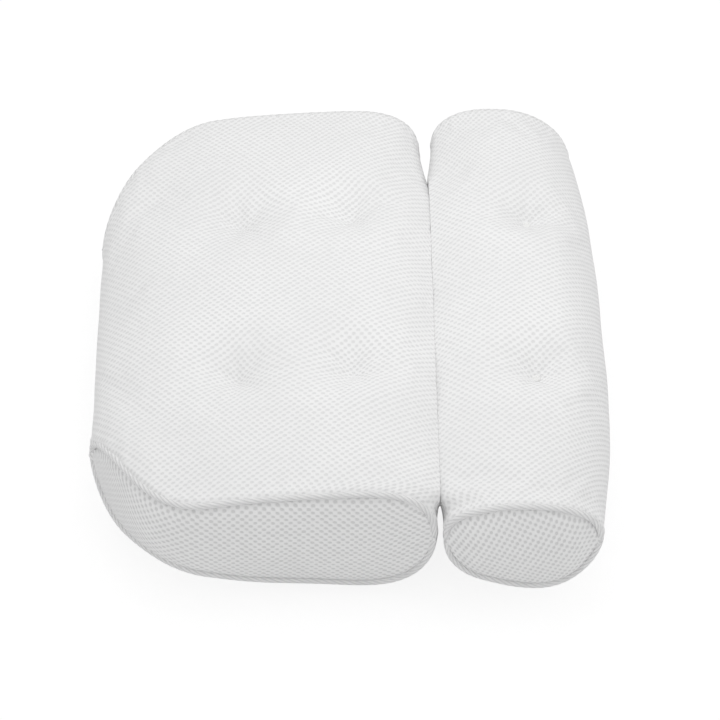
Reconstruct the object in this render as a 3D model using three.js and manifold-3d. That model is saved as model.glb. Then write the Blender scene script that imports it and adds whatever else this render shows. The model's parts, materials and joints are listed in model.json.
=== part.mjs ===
// Two-part bath pillow: a large back cushion and a smaller head roll, joined by a fabric hinge strip.
// Each cushion is a sleeve of spacer mesh closed by two end panels. A sewn bead runs round each seam.
// Inside lies a fibre filling. Ties pull the face down to washers that hold the suction cups.
// Millimetres, +Z up. X runs across both cushions, Y along them. Z = 0 is the plane of the cup rims.
import * as THREE from 'three';
import { mergeVertices } from 'three/addons/utils/BufferGeometryUtils.js';
import Module from 'manifold-3d';

const wasm = await Module();
wasm.setup();

// Clearance between pieces that touch on the real pillow
const clearance = 0.3;
const beadClearance = 0.4;
const fillingClearance = 0.7;
const cornerSlack = 2.4;

// Fabric, beads and end panels
const fabricWall = 4;
const beadRadius = 2.1;
const beadLift = 0.35;
const endPanelBulge = 7;

// Height of the cushions' lowest seam above the surface that the cups stand on
const standHeight = 14;

// Back cushion
const panelLength = 370;
const panelWidth = 210;
const panelThickness = 74;
const panelCornerAcross = 76;
const panelCornerAlong = 87;
const panelCrown = 9;
const panelBelly = 5;
const panelHingeBulge = 4;
const panelCrownPower = 2.4;
const panelCrownRiseShare = 0.35;

// Section of the back cushion, from its thin outer edge to the hinge side
const panelKnotShares = [0, 0.2, 0.45, 0.75, 1];
const panelMidHeightShares = [0.34, 0.435, 0.473, 0.473, 0.473];
const panelHalfHeightShares = [0.42, 0.355, 0.432, 0.5, 0.51];
const panelEdgeRoundShare = 0.12;
const panelHingeRoundShare = 0.22;
const panelHingeRoundPower = 2.3;

// Head roll
const rollLength = 384;
const rollWidth = 91.5;
const rollThickness = 67;
const rollRaise = 1;
const rollEndRounding = 5;
const rollCrown = 12;
const rollBelly = 5;
const rollHingeBulge = 3.5;
const rollOuterBulge = 13.5;
const rollSectionPower = 2.25;
const rollCrownPower = 2.2;
const rollCrownRiseShare = 0.5;

// Shares of either cushion's width over which its crown, side bulges and end doming fade out
const crownFallShare = 0.25;
const sideBulgeShare = 0.5;
const endRiseShare = 0.25;
const endFallShare = 0.2;

// Gap between the seams of the two cushions, and the hinge strip in it
const hingeGap = 10;
const hingeHeight = 35;
const stripLength = 280;
const stripThickness = 2.4;
const stripTuck = 12;

// Tufts: distance from the cushion's own left seam line, and from the middle along Y
const panelTuftDistances = [92.5, 163];
const rollTuftDistances = [57.5];
const tuftSpacing = 148;
const tuftReach = 36;
const tuftDepth = 9;
const seatHalf = 12;
const seatHeight = 13;

// Suction cups
const cupRadius = 26;
const cupRimWidth = 2.5;
const cupRimThickness = 1.4;
const cupHollowDepth = 3.6;
const cupShoulderRadius = 7.5;
const cupNeckRadius = 4;
const cupHeadRadius = 8;
const cupHeadThickness = 3;
const cupHeadCrown = 0.8;
const cupHeadFlatShare = 0.6;
const cupHollowShares = [0.5, 0.75];
const cupDomeShares = [
  [0.66, 0.42],
  [0.43, 0.78],
];
const cupSides = 16;

// Washers and ties
const washerRadius = 11;
const washerThickness = 1.5;
const knotRadius = 3;
const knotThickness = 1.6;
const threadRadius = 0.9;
const tieSides = 8;

// Colours and finishes
const finishes = {
  sleeve: { color: 0xf2f2f1, roughness: 0.9 },
  endPanel: { color: 0xebebea, roughness: 0.9 },
  bead: { color: 0xf5f5f4, roughness: 0.85 },
  filling: { color: 0xf7f7f5, roughness: 1 },
  strip: { color: 0xebebea, roughness: 0.9 },
  cup: { color: 0xdfe6e8, roughness: 0.25 },
  washer: { color: 0xeeeeee, roughness: 0.5 },
  thread: { color: 0xf5f5f4, roughness: 0.8 },
};

// Steps for slopes and normals, and the distance within which vertices are one
const angleStep = 1e-3;
const runStep = 1e-3;
const shareStep = 1e-4;
const weldTolerance = 1e-4;

const panelHalfLength = panelLength / 2;
const rollHalfLength = rollLength / 2;
const overallWidth = panelWidth + hingeGap + rollWidth + rollOuterBulge;
const panelLeft = -overallWidth / 2;
const rollLeft = panelLeft + panelWidth + hingeGap;
const hingeX = panelLeft + panelWidth + hingeGap / 2 + (panelHingeBulge - rollHingeBulge) / 2;

const clamp01 = (t) => Math.min(1, Math.max(0, t));

function smoothStep(t) {
  const u = clamp01(t);
  return u * u * (3 - 2 * u);
}

// Smooth curve through hand-chosen knots, with slopes taken from the neighbouring knots
function knotCurve(knots, values, at) {
  const last = knots.length - 1;
  const slope = (i) => {
    const low = Math.max(0, i - 1);
    const high = Math.min(last, i + 1);
    return (values[high] - values[low]) / (knots[high] - knots[low]);
  };
  const found = knots.findIndex((knot) => knot > at);
  const right = found < 0 ? last : Math.max(1, found);
  const left = right - 1;
  const span = knots[right] - knots[left];
  const t = clamp01((at - knots[left]) / span);
  const fall = (1 - t) * (1 - t);
  const rise = t * t;
  const bend = span * t * (1 - t);
  return (
    values[left] * (1 + 2 * t) * fall +
    values[right] * rise * (3 - 2 * t) +
    bend * (slope(left) * (1 - t) - slope(right) * t)
  );
}

// Back cushion: middle height and half height of the section at a share of its width
function panelSection(share) {
  const middle = standHeight + panelThickness * knotCurve(panelKnotShares, panelMidHeightShares, share);
  const half = panelThickness * knotCurve(panelKnotShares, panelHalfHeightShares, share);
  const edge = 1 - clamp01(1 - share / panelEdgeRoundShare) ** 2;
  const turn = clamp01((share - 1 + panelHingeRoundShare) / panelHingeRoundShare);
  const hingeEdge = (1 - turn ** panelHingeRoundPower) ** (1 / panelHingeRoundPower);
  return { middle, half: half * Math.sqrt(edge) * hingeEdge };
}

// Head roll: a lemon-shaped superellipse section
function rollSection(share) {
  const across = Math.abs(1 - 2 * share);
  const half = (rollThickness / 2) * (1 - across ** rollSectionPower) ** (1 / rollSectionPower);
  return { middle: standHeight + rollRaise + rollThickness / 2, half };
}

// How far the end seam is drawn in along Y at a share of the width
const panelRecess = (share) => panelCornerAlong * clamp01(1 - (share * panelWidth) / panelCornerAcross) ** 2;
const rollRecess = (share) => rollEndRounding * Math.abs(1 - 2 * share) ** 3;

const panel = {
  name: 'panel',
  left: panelLeft,
  width: panelWidth,
  halfLength: panelHalfLength,
  section: panelSection,
  recess: panelRecess,
  crown: panelCrown,
  belly: panelBelly,
  leftBulge: 0,
  rightBulge: panelHingeBulge,
  crownPower: panelCrownPower,
  crownRiseShare: panelCrownRiseShare,
  tuftDistances: panelTuftDistances,
  columnShares: [0, 0.015, 0.055, 0.12, 0.2, 0.29, 0.61, 0.9, 0.955, 0.987, 1],
};

const roll = {
  name: 'roll',
  left: rollLeft,
  width: rollWidth,
  halfLength: rollHalfLength,
  section: rollSection,
  recess: rollRecess,
  crown: rollCrown,
  belly: rollBelly,
  leftBulge: rollHingeBulge,
  rightBulge: rollOuterBulge,
  crownPower: rollCrownPower,
  crownRiseShare: rollCrownRiseShare,
  tuftDistances: rollTuftDistances,
  columnShares: [0, 0.015, 0.06, 0.14, 0.25, 0.37, 0.86, 0.94, 0.985, 1],
};

// Tuft axes of a cushion, first near then far
function tufts(cushion) {
  return cushion.tuftDistances.flatMap((distance) =>
    [-1, 1].map((side) => ({ x: cushion.left + distance, y: (side * tuftSpacing) / 2 })),
  );
}

const underSweep = (angle) => Math.sin(angle) < 0;

// Point of the sleeve's outer surface. The angle goes round the section from the left edge over the top.
// The run goes along Y from -1 at the near seam to 1 at the far seam.
function sleevePoint(cushion, angle, run) {
  const share = (1 - Math.cos(angle)) / 2;
  const { middle, half } = cushion.section(share);
  const under = underSweep(angle);
  const swell = 1 - Math.abs(run) ** cushion.crownPower;
  const edgeFade = smoothStep(share / cushion.crownRiseShare) * smoothStep((1 - share) / crownFallShare);
  const lift = (under ? -cushion.belly : cushion.crown) * edgeFade * swell;
  const rightBulge = cushion.rightBulge * smoothStep((share + sideBulgeShare - 1) / sideBulgeShare) * swell;
  const leftBulge = cushion.leftBulge * smoothStep((sideBulgeShare - share) / sideBulgeShare) * swell;
  const x = cushion.left + cushion.width * share + rightBulge - leftBulge;
  const y = run * (cushion.halfLength - cushion.recess(share));
  let z = middle + (under ? -half : half) + lift;
  for (const tuft of tufts(cushion)) {
    const away = Math.hypot(x - tuft.x, y - tuft.y);
    const pull = clamp01(1 - away / tuftReach);
    const seat = smoothStep((tuftReach - away) / (tuftReach - seatHalf * Math.SQRT2));
    z = under ? THREE.MathUtils.lerp(z, seatHeight, seat) : z - tuftDepth * pull * pull * (2 - pull);
  }
  return new THREE.Vector3(x, y, z);
}

// Outward normal of the sleeve, from two small steps on its surface
function sleeveNormal(cushion, angle, run) {
  const low = Math.max(-1, run - runStep);
  const high = Math.min(1, run + runStep);
  const round = sleevePoint(cushion, angle + angleStep, run).sub(sleevePoint(cushion, angle - angleStep, run));
  const along = sleevePoint(cushion, angle, high).sub(sleevePoint(cushion, angle, low));
  return round.cross(along).normalize();
}

// The seam at one end and angle: its point, the two outward normals, and the ways into sleeve and end panel
function seamFrame(cushion, angle, end) {
  const at = sleevePoint(cushion, angle, end);
  const before = sleevePoint(cushion, angle - angleStep, end);
  const along = sleevePoint(cushion, angle + angleStep, end).sub(before).normalize();
  const outOfSleeve = sleeveNormal(cushion, angle, end);
  const share = (1 - Math.cos(angle)) / 2;
  const low = Math.max(0, share - shareStep);
  const high = Math.min(1, share + shareStep);
  const drawIn = (cushion.recess(high) - cushion.recess(low)) / (cushion.width * (high - low));
  const outOfEnd = new THREE.Vector3(drawIn, end, 0).normalize();
  const intoSleeve = outOfSleeve.clone().cross(along).multiplyScalar(-end).normalize();
  const intoEnd = along.clone().cross(outOfEnd).multiplyScalar(-end).normalize();
  return { at, outOfSleeve, outOfEnd, intoSleeve, intoEnd };
}

// Point that lies at one depth below both the sleeve and the end panel
function cornerPoint(frame, depth) {
  const both = frame.outOfSleeve.clone().add(frame.outOfEnd);
  return frame.at.clone().addScaledVector(both, (-2 * depth) / both.lengthSq());
}

// Way straight out between the sleeve and the end panel
const outwardOf = (frame) => frame.outOfSleeve.clone().add(frame.outOfEnd).normalize();

function beadCentre(frame) {
  return cornerPoint(frame, beadRadius).addScaledVector(outwardOf(frame), beadLift);
}

// How far a fabric's edge stops short of the seam, so that the bead fits between the two edges
function edgeRetreat(frame) {
  const inward = beadCentre(frame).sub(frame.at).dot(frame.intoSleeve);
  return inward + beadRadius + beadClearance;
}

// Angles round a section: its own columns and three columns across each tuft, over the top and back below
function sectionAngles(cushion) {
  const tuftShares = cushion.tuftDistances.flatMap((distance) =>
    [-seatHalf, 0, seatHalf].map((offset) => (distance + offset) / cushion.width),
  );
  const shares = [...cushion.columnShares, ...tuftShares].sort((a, b) => a - b);
  const top = shares.map((share) => Math.acos(1 - 2 * share));
  const below = top.slice(1, -1).reverse();
  return [...top, ...below.map((angle) => 2 * Math.PI - angle)];
}

// Places along Y as shares of the sleeve's reach: the middle, the rows across each tuft, and the ends
function runShares(cushion) {
  const reach = cushion.halfLength - cushion.recess(0.5);
  const tuftRow = tuftSpacing / 2;
  const rows = [-tuftReach, -seatHalf, 0, seatHalf, tuftReach].map((offset) => (tuftRow + offset) / reach);
  const outer = (rows[rows.length - 1] + 1) / 2;
  const half = [...rows, outer, 1];
  return [...half.map((share) => -share).reverse(), 0, ...half];
}

// Closed body from vertices and triangles
function meshGeometry(points, triangles) {
  const geometry = new THREE.BufferGeometry();
  geometry.setAttribute('position', new THREE.Float32BufferAttribute(points.flatMap((p) => p.toArray()), 3));
  geometry.setIndex(triangles.flat());
  return geometry;
}

// Band of triangles between two closed rings of vertex indices
function ringBand(first, second, flip) {
  const triangles = [];
  first.forEach((_, i) => {
    const j = (i + 1) % first.length;
    triangles.push([first[i], first[j], second[i]]);
    triangles.push([first[j], second[j], second[i]]);
  });
  return flip ? triangles.map(([a, b, c]) => [a, c, b]) : triangles;
}

// Vertex indices of a ring that starts at one index
const ringIndices = (start, count) => Array.from({ length: count }, (_, i) => start + i);

// The run where the sleeve's edge lies at one end. Where the seam slants round a corner, it gets some slack.
function sleeveEdgeRun(cushion, angle, end) {
  const frame = seamFrame(cushion, angle, end);
  const slant = Math.abs(frame.intoSleeve.y);
  const stepBack = edgeRetreat(frame) / slant + cornerSlack * (1 - slant);
  return end * (1 - stepBack / Math.abs(frame.at.y));
}

// Rings round the section at one depth below the sleeve's surface, from near to far
function sleeveRings(cushion, shares, depth) {
  return shares.map((share) =>
    sectionAngles(cushion).map((angle) => {
      const run = Math.abs(share) * sleeveEdgeRun(cushion, angle, share < 0 ? -1 : 1);
      const point = sleevePoint(cushion, angle, run);
      return point.addScaledVector(sleeveNormal(cushion, angle, run), -depth);
    }),
  );
}

// Sleeve of fabric: an outer and an inner skin, joined at both ends
function sleeve(cushion) {
  const shares = runShares(cushion);
  const outer = sleeveRings(cushion, shares, 0);
  const inner = sleeveRings(cushion, shares, fabricWall);
  const count = outer[0].length;
  const outerLoops = outer.map((_, i) => ringIndices(i * count, count));
  const innerLoops = outerLoops.map((loop) => loop.map((index) => index + outer.length * count));
  const last = outer.length - 1;
  const triangles = [
    ...ringBand(innerLoops[0], outerLoops[0], false),
    ...ringBand(outerLoops[last], innerLoops[last], false),
  ];
  for (let i = 0; i < last; i += 1) {
    triangles.push(...ringBand(outerLoops[i], outerLoops[i + 1], false));
    triangles.push(...ringBand(innerLoops[i], innerLoops[i + 1], true));
  }
  return meshGeometry([...outer.flat(), ...inner.flat()], triangles);
}

// Grid over an end panel, from the top edge down to the bottom edge, at one depth below its outer face
const endPanelRows = 4;
function endGrid(cushion, end, depth, edgePoint) {
  const angles = sectionAngles(cushion);
  const count = angles.length;
  const last = count / 2;
  const columns = [];
  for (let i = 0; i <= last; i += 1) {
    const top = edgePoint(seamFrame(cushion, angles[i], end));
    const bottom = edgePoint(seamFrame(cushion, angles[(count - i) % count], end));
    const out = seamFrame(cushion, angles[i], end).outOfEnd;
    const share = (1 - Math.cos(angles[i])) / 2;
    const across = smoothStep(share / endRiseShare) * smoothStep((1 - share) / endFallShare);
    const rows = i === 0 || i === last ? 0 : endPanelRows;
    const column = [];
    for (let row = 0; row <= rows; row += 1) {
      const down = rows === 0 ? 0 : row / rows;
      const bulge = endPanelBulge * across * 4 * down * (1 - down);
      column.push(top.clone().lerp(bottom, down).addScaledVector(out, bulge - depth));
    }
    columns.push(column);
  }
  return columns;
}

// Triangles over a grid of columns whose first and last columns are single points
function gridTriangles(columns, start, flip) {
  const starts = [];
  columns.reduce((sum, column) => {
    starts.push(sum);
    return sum + column.length;
  }, start);
  const triangles = [];
  for (let i = 0; i + 1 < columns.length; i += 1) {
    for (let row = 0; row < endPanelRows; row += 1) {
      const index = (column, r) => starts[column] + Math.min(r, columns[column].length - 1);
      const corners = [index(i, row), index(i, row + 1), index(i + 1, row + 1), index(i + 1, row)];
      triangles.push([corners[0], corners[1], corners[2]]);
      triangles.push([corners[0], corners[2], corners[3]]);
    }
  }
  const solidOnes = triangles.filter(([a, b, c]) => a !== b && b !== c && a !== c);
  return flip ? solidOnes.map(([a, b, c]) => [a, c, b]) : solidOnes;
}

// Indices of a grid's rim, in the order of the section's angles
function gridRim(columns, start) {
  const top = [];
  const below = [];
  let index = start;
  columns.forEach((column) => {
    top.push(index);
    if (column.length > 1) below.push(index + column.length - 1);
    index += column.length;
  });
  return [...top, ...below.reverse()];
}

// End panel: a curved, slightly domed wall of fabric inside the seam
function endPanel(cushion, end) {
  const edgePoint = (frame) => frame.at.clone().addScaledVector(frame.intoEnd, edgeRetreat(frame));
  const outer = endGrid(cushion, end, 0, edgePoint);
  const inner = endGrid(cushion, end, fabricWall, edgePoint);
  const outerCount = outer.flat().length;
  const far = end > 0;
  const triangles = [
    ...gridTriangles(outer, 0, far),
    ...gridTriangles(inner, outerCount, !far),
    ...ringBand(gridRim(outer, 0), gridRim(inner, outerCount), far),
  ];
  return meshGeometry([...outer.flat(), ...inner.flat()], triangles);
}

// Bead: a closed tube along the seam, lifted a little above the fabric
const beadSides = 6;
function bead(cushion, end) {
  const angles = sectionAngles(cushion);
  const rings = angles.map((angle) => {
    const frame = seamFrame(cushion, angle, end);
    const outward = outwardOf(frame);
    const centre = beadCentre(frame);
    const sideways = frame.intoSleeve.clone().sub(frame.intoEnd).normalize();
    const ring = [];
    for (let i = 0; i < beadSides; i += 1) {
      const turn = (2 * Math.PI * (i + 0.5)) / beadSides;
      const point = centre.clone().addScaledVector(outward, beadRadius * Math.cos(turn));
      ring.push(point.addScaledVector(sideways, beadRadius * Math.sin(turn)));
    }
    return ring;
  });
  const loops = rings.map((_, i) => ringIndices(i * beadSides, beadSides));
  const triangles = loops.flatMap((loop, i) => ringBand(loop, loops[(i + 1) % loops.length], end < 0));
  return meshGeometry(rings.flat(), triangles);
}

// Solid body of a cushion at one depth below its outer surface, used for the filling and for cutting.
// Its end corners are eased by a share of that depth.
const cornerEaseShare = 0.3;
function cushionBody(cushion, depth) {
  const rings = sleeveRings(cushion, runShares(cushion).slice(1, -1), depth);
  const edgePoint = (frame) => cornerPoint(frame, depth * (1 + cornerEaseShare));
  const near = endGrid(cushion, -1, 0, edgePoint);
  const far = endGrid(cushion, 1, 0, edgePoint);
  const nearStart = rings.flat().length;
  const farStart = nearStart + near.flat().length;
  const count = rings[0].length;
  const sideLoops = rings.map((_, i) => ringIndices(i * count, count));
  const loops = [gridRim(near, nearStart), ...sideLoops, gridRim(far, farStart)];
  const triangles = [...gridTriangles(near, nearStart, false), ...gridTriangles(far, farStart, true)];
  for (let i = 0; i + 1 < loops.length; i += 1) triangles.push(...ringBand(loops[i], loops[i + 1], false));
  return meshGeometry([...rings.flat(), ...near.flat(), ...far.flat()], triangles);
}

// Joining and cutting
function toSolid(geometry) {
  const bare = geometry.clone();
  bare.deleteAttribute('normal');
  bare.deleteAttribute('uv');
  const merged = mergeVertices(bare, weldTolerance);
  const vertProperties = new Float32Array(merged.attributes.position.array);
  const triVerts = new Uint32Array(merged.index.array);
  return new wasm.Manifold(new wasm.Mesh({ numProp: 3, vertProperties, triVerts }));
}

function toGeometry(solid) {
  const mesh = solid.getMesh();
  const geometry = new THREE.BufferGeometry();
  geometry.setAttribute('position', new THREE.BufferAttribute(mesh.vertProperties, 3));
  geometry.setIndex(new THREE.BufferAttribute(mesh.triVerts, 1));
  return geometry;
}

function cutAway(geometry, cutters) {
  return toGeometry(cutters.reduce((solid, cutter) => solid.subtract(toSolid(cutter)), toSolid(geometry)));
}

// Turned piece: a profile of [radius, height] pairs spun about the upright axis at (x, y)
function turned(profile, sides, x, y) {
  const points = profile.map(([radius, height]) => new THREE.Vector2(radius, height));
  const geometry = new THREE.LatheGeometry(points, sides);
  geometry.rotateX(Math.PI / 2);
  geometry.translate(x, y, 0);
  return geometry;
}

// Heights in the stack at each tuft, from the cup's shoulder to the lower knot
const shoulderHeight = seatHeight - clearance;
const washerBase = seatHeight + fabricWall + clearance;
const headBase = washerBase + washerThickness + clearance;
const headTop = headBase + cupHeadThickness;
const knotBase = headTop + clearance;

// Suction cup: a shallow hollow disc with a neck and a head that the washer holds
function suctionCup(x, y) {
  const innerRim = cupRadius - cupRimWidth;
  const [hollowRadiusShare, hollowDepthShare] = cupHollowShares;
  const profile = [
    [0, cupHollowDepth],
    [innerRim * hollowRadiusShare, cupHollowDepth * hollowDepthShare],
    [innerRim, 0],
    [cupRadius, 0],
    [cupRadius, cupRimThickness],
    ...cupDomeShares.map(([radius, height]) => [cupRadius * radius, shoulderHeight * height]),
    [cupShoulderRadius, shoulderHeight],
    [cupNeckRadius, shoulderHeight],
    [cupNeckRadius, headBase],
    [cupHeadRadius, headBase],
    [cupHeadRadius, headTop - cupHeadCrown],
    [cupHeadRadius * cupHeadFlatShare, headTop],
    [0, headTop],
  ];
  return turned(profile, cupSides, x, y);
}

function washer(x, y) {
  const hole = cupNeckRadius + clearance;
  const top = washerBase + washerThickness;
  const profile = [
    [hole, washerBase],
    [washerRadius, washerBase],
    [washerRadius, top],
    [hole, top],
    [hole, washerBase],
  ];
  return turned(profile, cupSides, x, y);
}

// Height of the upper knot's top: just under the sleeve at the bottom of the dimple
function knotCeiling(cushion, x, y) {
  const angle = Math.acos(1 - (2 * (x - cushion.left)) / cushion.width);
  const run = y / (cushion.halfLength - cushion.recess((x - cushion.left) / cushion.width));
  const normal = sleeveNormal(cushion, angle, run);
  return sleevePoint(cushion, angle, run).addScaledVector(normal, -fabricWall).z - clearance;
}

function tieProfile(ceiling, grow, overrun) {
  return [
    [0, knotBase - grow],
    [knotRadius + grow, knotBase - grow],
    [knotRadius + grow, knotBase + knotThickness + grow],
    [threadRadius + grow, knotBase + knotThickness + grow],
    [threadRadius + grow, ceiling - knotThickness - grow],
    [knotRadius + grow, ceiling - knotThickness - grow],
    [knotRadius + grow, ceiling + grow + overrun],
    [0, ceiling + grow + overrun],
  ];
}

function tie(cushion, x, y) {
  return turned(tieProfile(knotCeiling(cushion, x, y), 0, 0), tieSides, x, y);
}

// Room in the filling for the washer, the cup's head and the tie
function fillingCutters(cushion, x, y) {
  const floor = seatHeight - seatHalf;
  const pocketRadius = washerRadius + clearance;
  const pocketTop = knotBase;
  const pocket = [
    [0, floor],
    [pocketRadius, floor],
    [pocketRadius, pocketTop],
    [0, pocketTop],
  ];
  const tieRoom = tieProfile(knotCeiling(cushion, x, y), clearance, fabricWall);
  return [turned(pocket, cupSides, x, y), turned(tieRoom, tieSides, x, y)];
}

function neckHole(x, y) {
  const radius = cupNeckRadius + clearance;
  const profile = [
    [0, shoulderHeight],
    [radius, shoulderHeight],
    [radius, washerBase],
    [0, washerBase],
  ];
  return turned(profile, cupSides, x, y);
}

// Hinge strip: fabric that spans the groove between the two cushions
function hingeStrip() {
  const reach = hingeGap / 2 + stripTuck;
  const slab = new THREE.BoxGeometry(2 * reach, stripLength, stripThickness);
  slab.translate(hingeX, 0, hingeHeight);
  return cutAway(slab, [cushionBody(panel, -clearance), cushionBody(roll, -clearance)]);
}

const group = new THREE.Group();

function add(name, geometry, finish) {
  const mesh = new THREE.Mesh(geometry, new THREE.MeshStandardMaterial({ ...finish, metalness: 0 }));
  mesh.name = name;
  group.add(mesh);
}

function addCushion(cushion) {
  const spots = tufts(cushion);
  const sleeveHoles = spots.map(({ x, y }) => neckHole(x, y));
  const fillingHoles = spots.flatMap(({ x, y }) => fillingCutters(cushion, x, y));
  const filling = cushionBody(cushion, fabricWall + fillingClearance);
  add(`${cushion.name}_cover`, cutAway(sleeve(cushion), sleeveHoles), finishes.sleeve);
  add(`${cushion.name}_filling`, cutAway(filling, fillingHoles), finishes.filling);
  for (const [side, end] of [['near', -1], ['far', 1]]) {
    add(`${cushion.name}_end_${side}`, endPanel(cushion, end), finishes.endPanel);
    add(`${cushion.name}_bead_${side}`, bead(cushion, end), finishes.bead);
  }
  spots.forEach(({ x, y }, i) => {
    const label = `${cushion.name}_${i + 1}`;
    add(`suction_cup_${label}`, suctionCup(x, y), finishes.cup);
    add(`cup_washer_${label}`, washer(x, y), finishes.washer);
    add(`tuft_tie_${label}`, tie(cushion, x, y), finishes.thread);
  });
}

addCushion(panel);
addCushion(roll);
add('hinge_strip', hingeStrip(), finishes.strip);

export default group;
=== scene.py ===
# %% [markdown]
# A bath pillow of white spacer mesh
#
# The real thing is a bath accessory: a wide back cushion with rounded outer corners and a smaller
# head roll, joined by a strip of fabric. Both are sleeves of spacer mesh, an airy knitted fabric with
# a regular pattern of small holes. Six suction cups hold it to the tub, and a thread above each cup
# pulls the face down into a dimple. This lesson dresses the measured solid model of the pillow, piece
# by piece, in Blender. All lengths are in metres, X runs across both cushions and Y along them.

# %% Load the measured model
import json
from types import SimpleNamespace

import bmesh
import bpy
import numpy as np
from mathutils import Matrix, Vector


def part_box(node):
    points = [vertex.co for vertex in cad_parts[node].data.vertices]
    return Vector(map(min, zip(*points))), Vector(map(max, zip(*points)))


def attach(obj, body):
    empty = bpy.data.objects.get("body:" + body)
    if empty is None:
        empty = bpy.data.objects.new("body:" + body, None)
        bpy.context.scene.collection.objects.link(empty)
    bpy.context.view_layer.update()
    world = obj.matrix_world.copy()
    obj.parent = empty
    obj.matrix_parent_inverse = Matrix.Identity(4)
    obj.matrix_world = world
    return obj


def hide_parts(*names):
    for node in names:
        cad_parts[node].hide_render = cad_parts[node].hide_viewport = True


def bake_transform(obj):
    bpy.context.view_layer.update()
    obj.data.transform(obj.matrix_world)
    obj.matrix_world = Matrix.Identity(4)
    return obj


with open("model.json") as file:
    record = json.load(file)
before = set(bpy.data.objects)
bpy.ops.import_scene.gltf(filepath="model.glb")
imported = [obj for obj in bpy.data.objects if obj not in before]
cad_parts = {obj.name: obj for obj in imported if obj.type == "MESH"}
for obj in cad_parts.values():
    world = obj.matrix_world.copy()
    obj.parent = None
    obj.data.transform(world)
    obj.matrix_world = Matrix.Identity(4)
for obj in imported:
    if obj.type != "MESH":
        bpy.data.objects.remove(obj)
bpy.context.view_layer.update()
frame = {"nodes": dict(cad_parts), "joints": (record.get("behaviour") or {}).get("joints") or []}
MM = 0.001

# %% [markdown]
# The camera
#
# The photograph was taken from 42 degrees above the floor with a long lens, so the far end of the
# pillow is only a little smaller than the near end. A camera far away with a narrow angle of view
# gives the same flat perspective. The aim point was found by laying the model's seams over the
# photograph, and a small step along the camera's own right and up places the pillow in the frame.

# %% Place the camera
camera_elevation, camera_azimuth = np.radians(42), np.radians(-0.6)
camera_distance = 2.55
focal_pixels, frame_pixels = 3970, 720
sensor_width_mm = 36
aim_across, aim_height = -2.5 * MM, 45 * MM
step_right, step_up = 8.7 * MM, -12.2 * MM


def place_camera():
    """A long-lens camera that looks down at the pillow as the photograph does."""
    towards_camera = Vector((
        np.sin(camera_azimuth) * np.cos(camera_elevation),
        -np.cos(camera_azimuth) * np.cos(camera_elevation),
        np.sin(camera_elevation),
    ))
    right = Vector((np.cos(camera_azimuth), np.sin(camera_azimuth), 0))
    up = towards_camera.cross(right)
    aim = Vector((aim_across, 0, aim_height)) + right * step_right + up * step_up
    data = bpy.data.cameras.new("camera")
    data.sensor_width = sensor_width_mm
    data.lens = focal_pixels / frame_pixels * sensor_width_mm
    camera = bpy.data.objects.new("camera", data)
    bpy.context.scene.collection.objects.link(camera)
    axes = Matrix((right, up, towards_camera)).transposed().to_4x4()
    camera.matrix_world = Matrix.Translation(aim + towards_camera * camera_distance) @ axes
    bpy.context.scene.camera = camera
    return data.lens


print("lens in mm:", round(place_camera(), 1))

# %% [markdown]
# The studio
#
# The pillow is white on white, so the light has to be soft and the level plain: a colour should come
# out about as it is written. A pale sky gives most of the light. One wide lamp, 0.7 m up and a little
# right of the pillow's middle, makes the left slopes slightly darker, as in the photograph. A single
# hard lamp would be quicker to place, but it would draw dark lines along every seam.

# %% Light the studio
sky_level = 0.93
lamp_power = 1.06
lamp_width = 0.5
lamp_place = Vector((0.055, 0.05, 0.7))


def seen_directly(nodes, links):
    """One where a ray comes from the camera, or by way of a shiny or clear surface."""
    rays = nodes.new("ShaderNodeLightPath")
    total = rays.outputs["Is Camera Ray"]
    for name in ("Is Glossy Ray", "Is Transmission Ray"):
        add = nodes.new("ShaderNodeMath")
        add.operation = "MAXIMUM"
        links.new(total, add.inputs[0])
        links.new(rays.outputs[name], add.inputs[1])
        total = add.outputs[0]
    return total


def light_sky():
    """A pale sky that lights the pillow, and plain white where the camera sees it."""
    world = bpy.data.worlds.new("studio_sky")
    world.use_nodes = True
    nodes, links = world.node_tree.nodes, world.node_tree.links
    nodes.clear()
    level = nodes.new("ShaderNodeMapRange")
    level.inputs["To Min"].default_value = sky_level
    level.inputs["To Max"].default_value = 1.0
    links.new(seen_directly(nodes, links), level.inputs["Value"])
    sky = nodes.new("ShaderNodeBackground")
    links.new(level.outputs["Result"], sky.inputs["Strength"])
    output = nodes.new("ShaderNodeOutputWorld")
    links.new(sky.outputs["Background"], output.inputs["Surface"])
    bpy.context.scene.world = world


def light_lamp():
    """One wide, soft lamp not far above the middle of the pillow, which no camera sees."""
    data = bpy.data.lights.new("soft_lamp", "AREA")
    data.shape = "DISK"
    data.size = lamp_width
    data.energy = lamp_power
    lamp = bpy.data.objects.new("soft_lamp", data)
    lamp.location = lamp_place
    lamp.visible_camera = False
    bpy.context.scene.collection.objects.link(lamp)


light_sky()
light_lamp()
bpy.context.scene.view_settings.view_transform = "Standard"
print("studio: sky level", sky_level, "lamp power", lamp_power, "W at", lamp_place.z, "m")

# %% [markdown]
# The floor
#
# The photograph's ground is white, with only a faint shadow under the pillow. More light would burn
# out the white fabric as well. So the floor is pale grey to the lamps, and only the camera sees it
# mixed with plain white, which keeps the shadow but thins it.

# %% Lay the floor
floor_size = 8.0
floor_colour = (0.9, 0.9, 0.9, 1)
floor_white_share = 0.8
floor_white_level = 1.08


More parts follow.
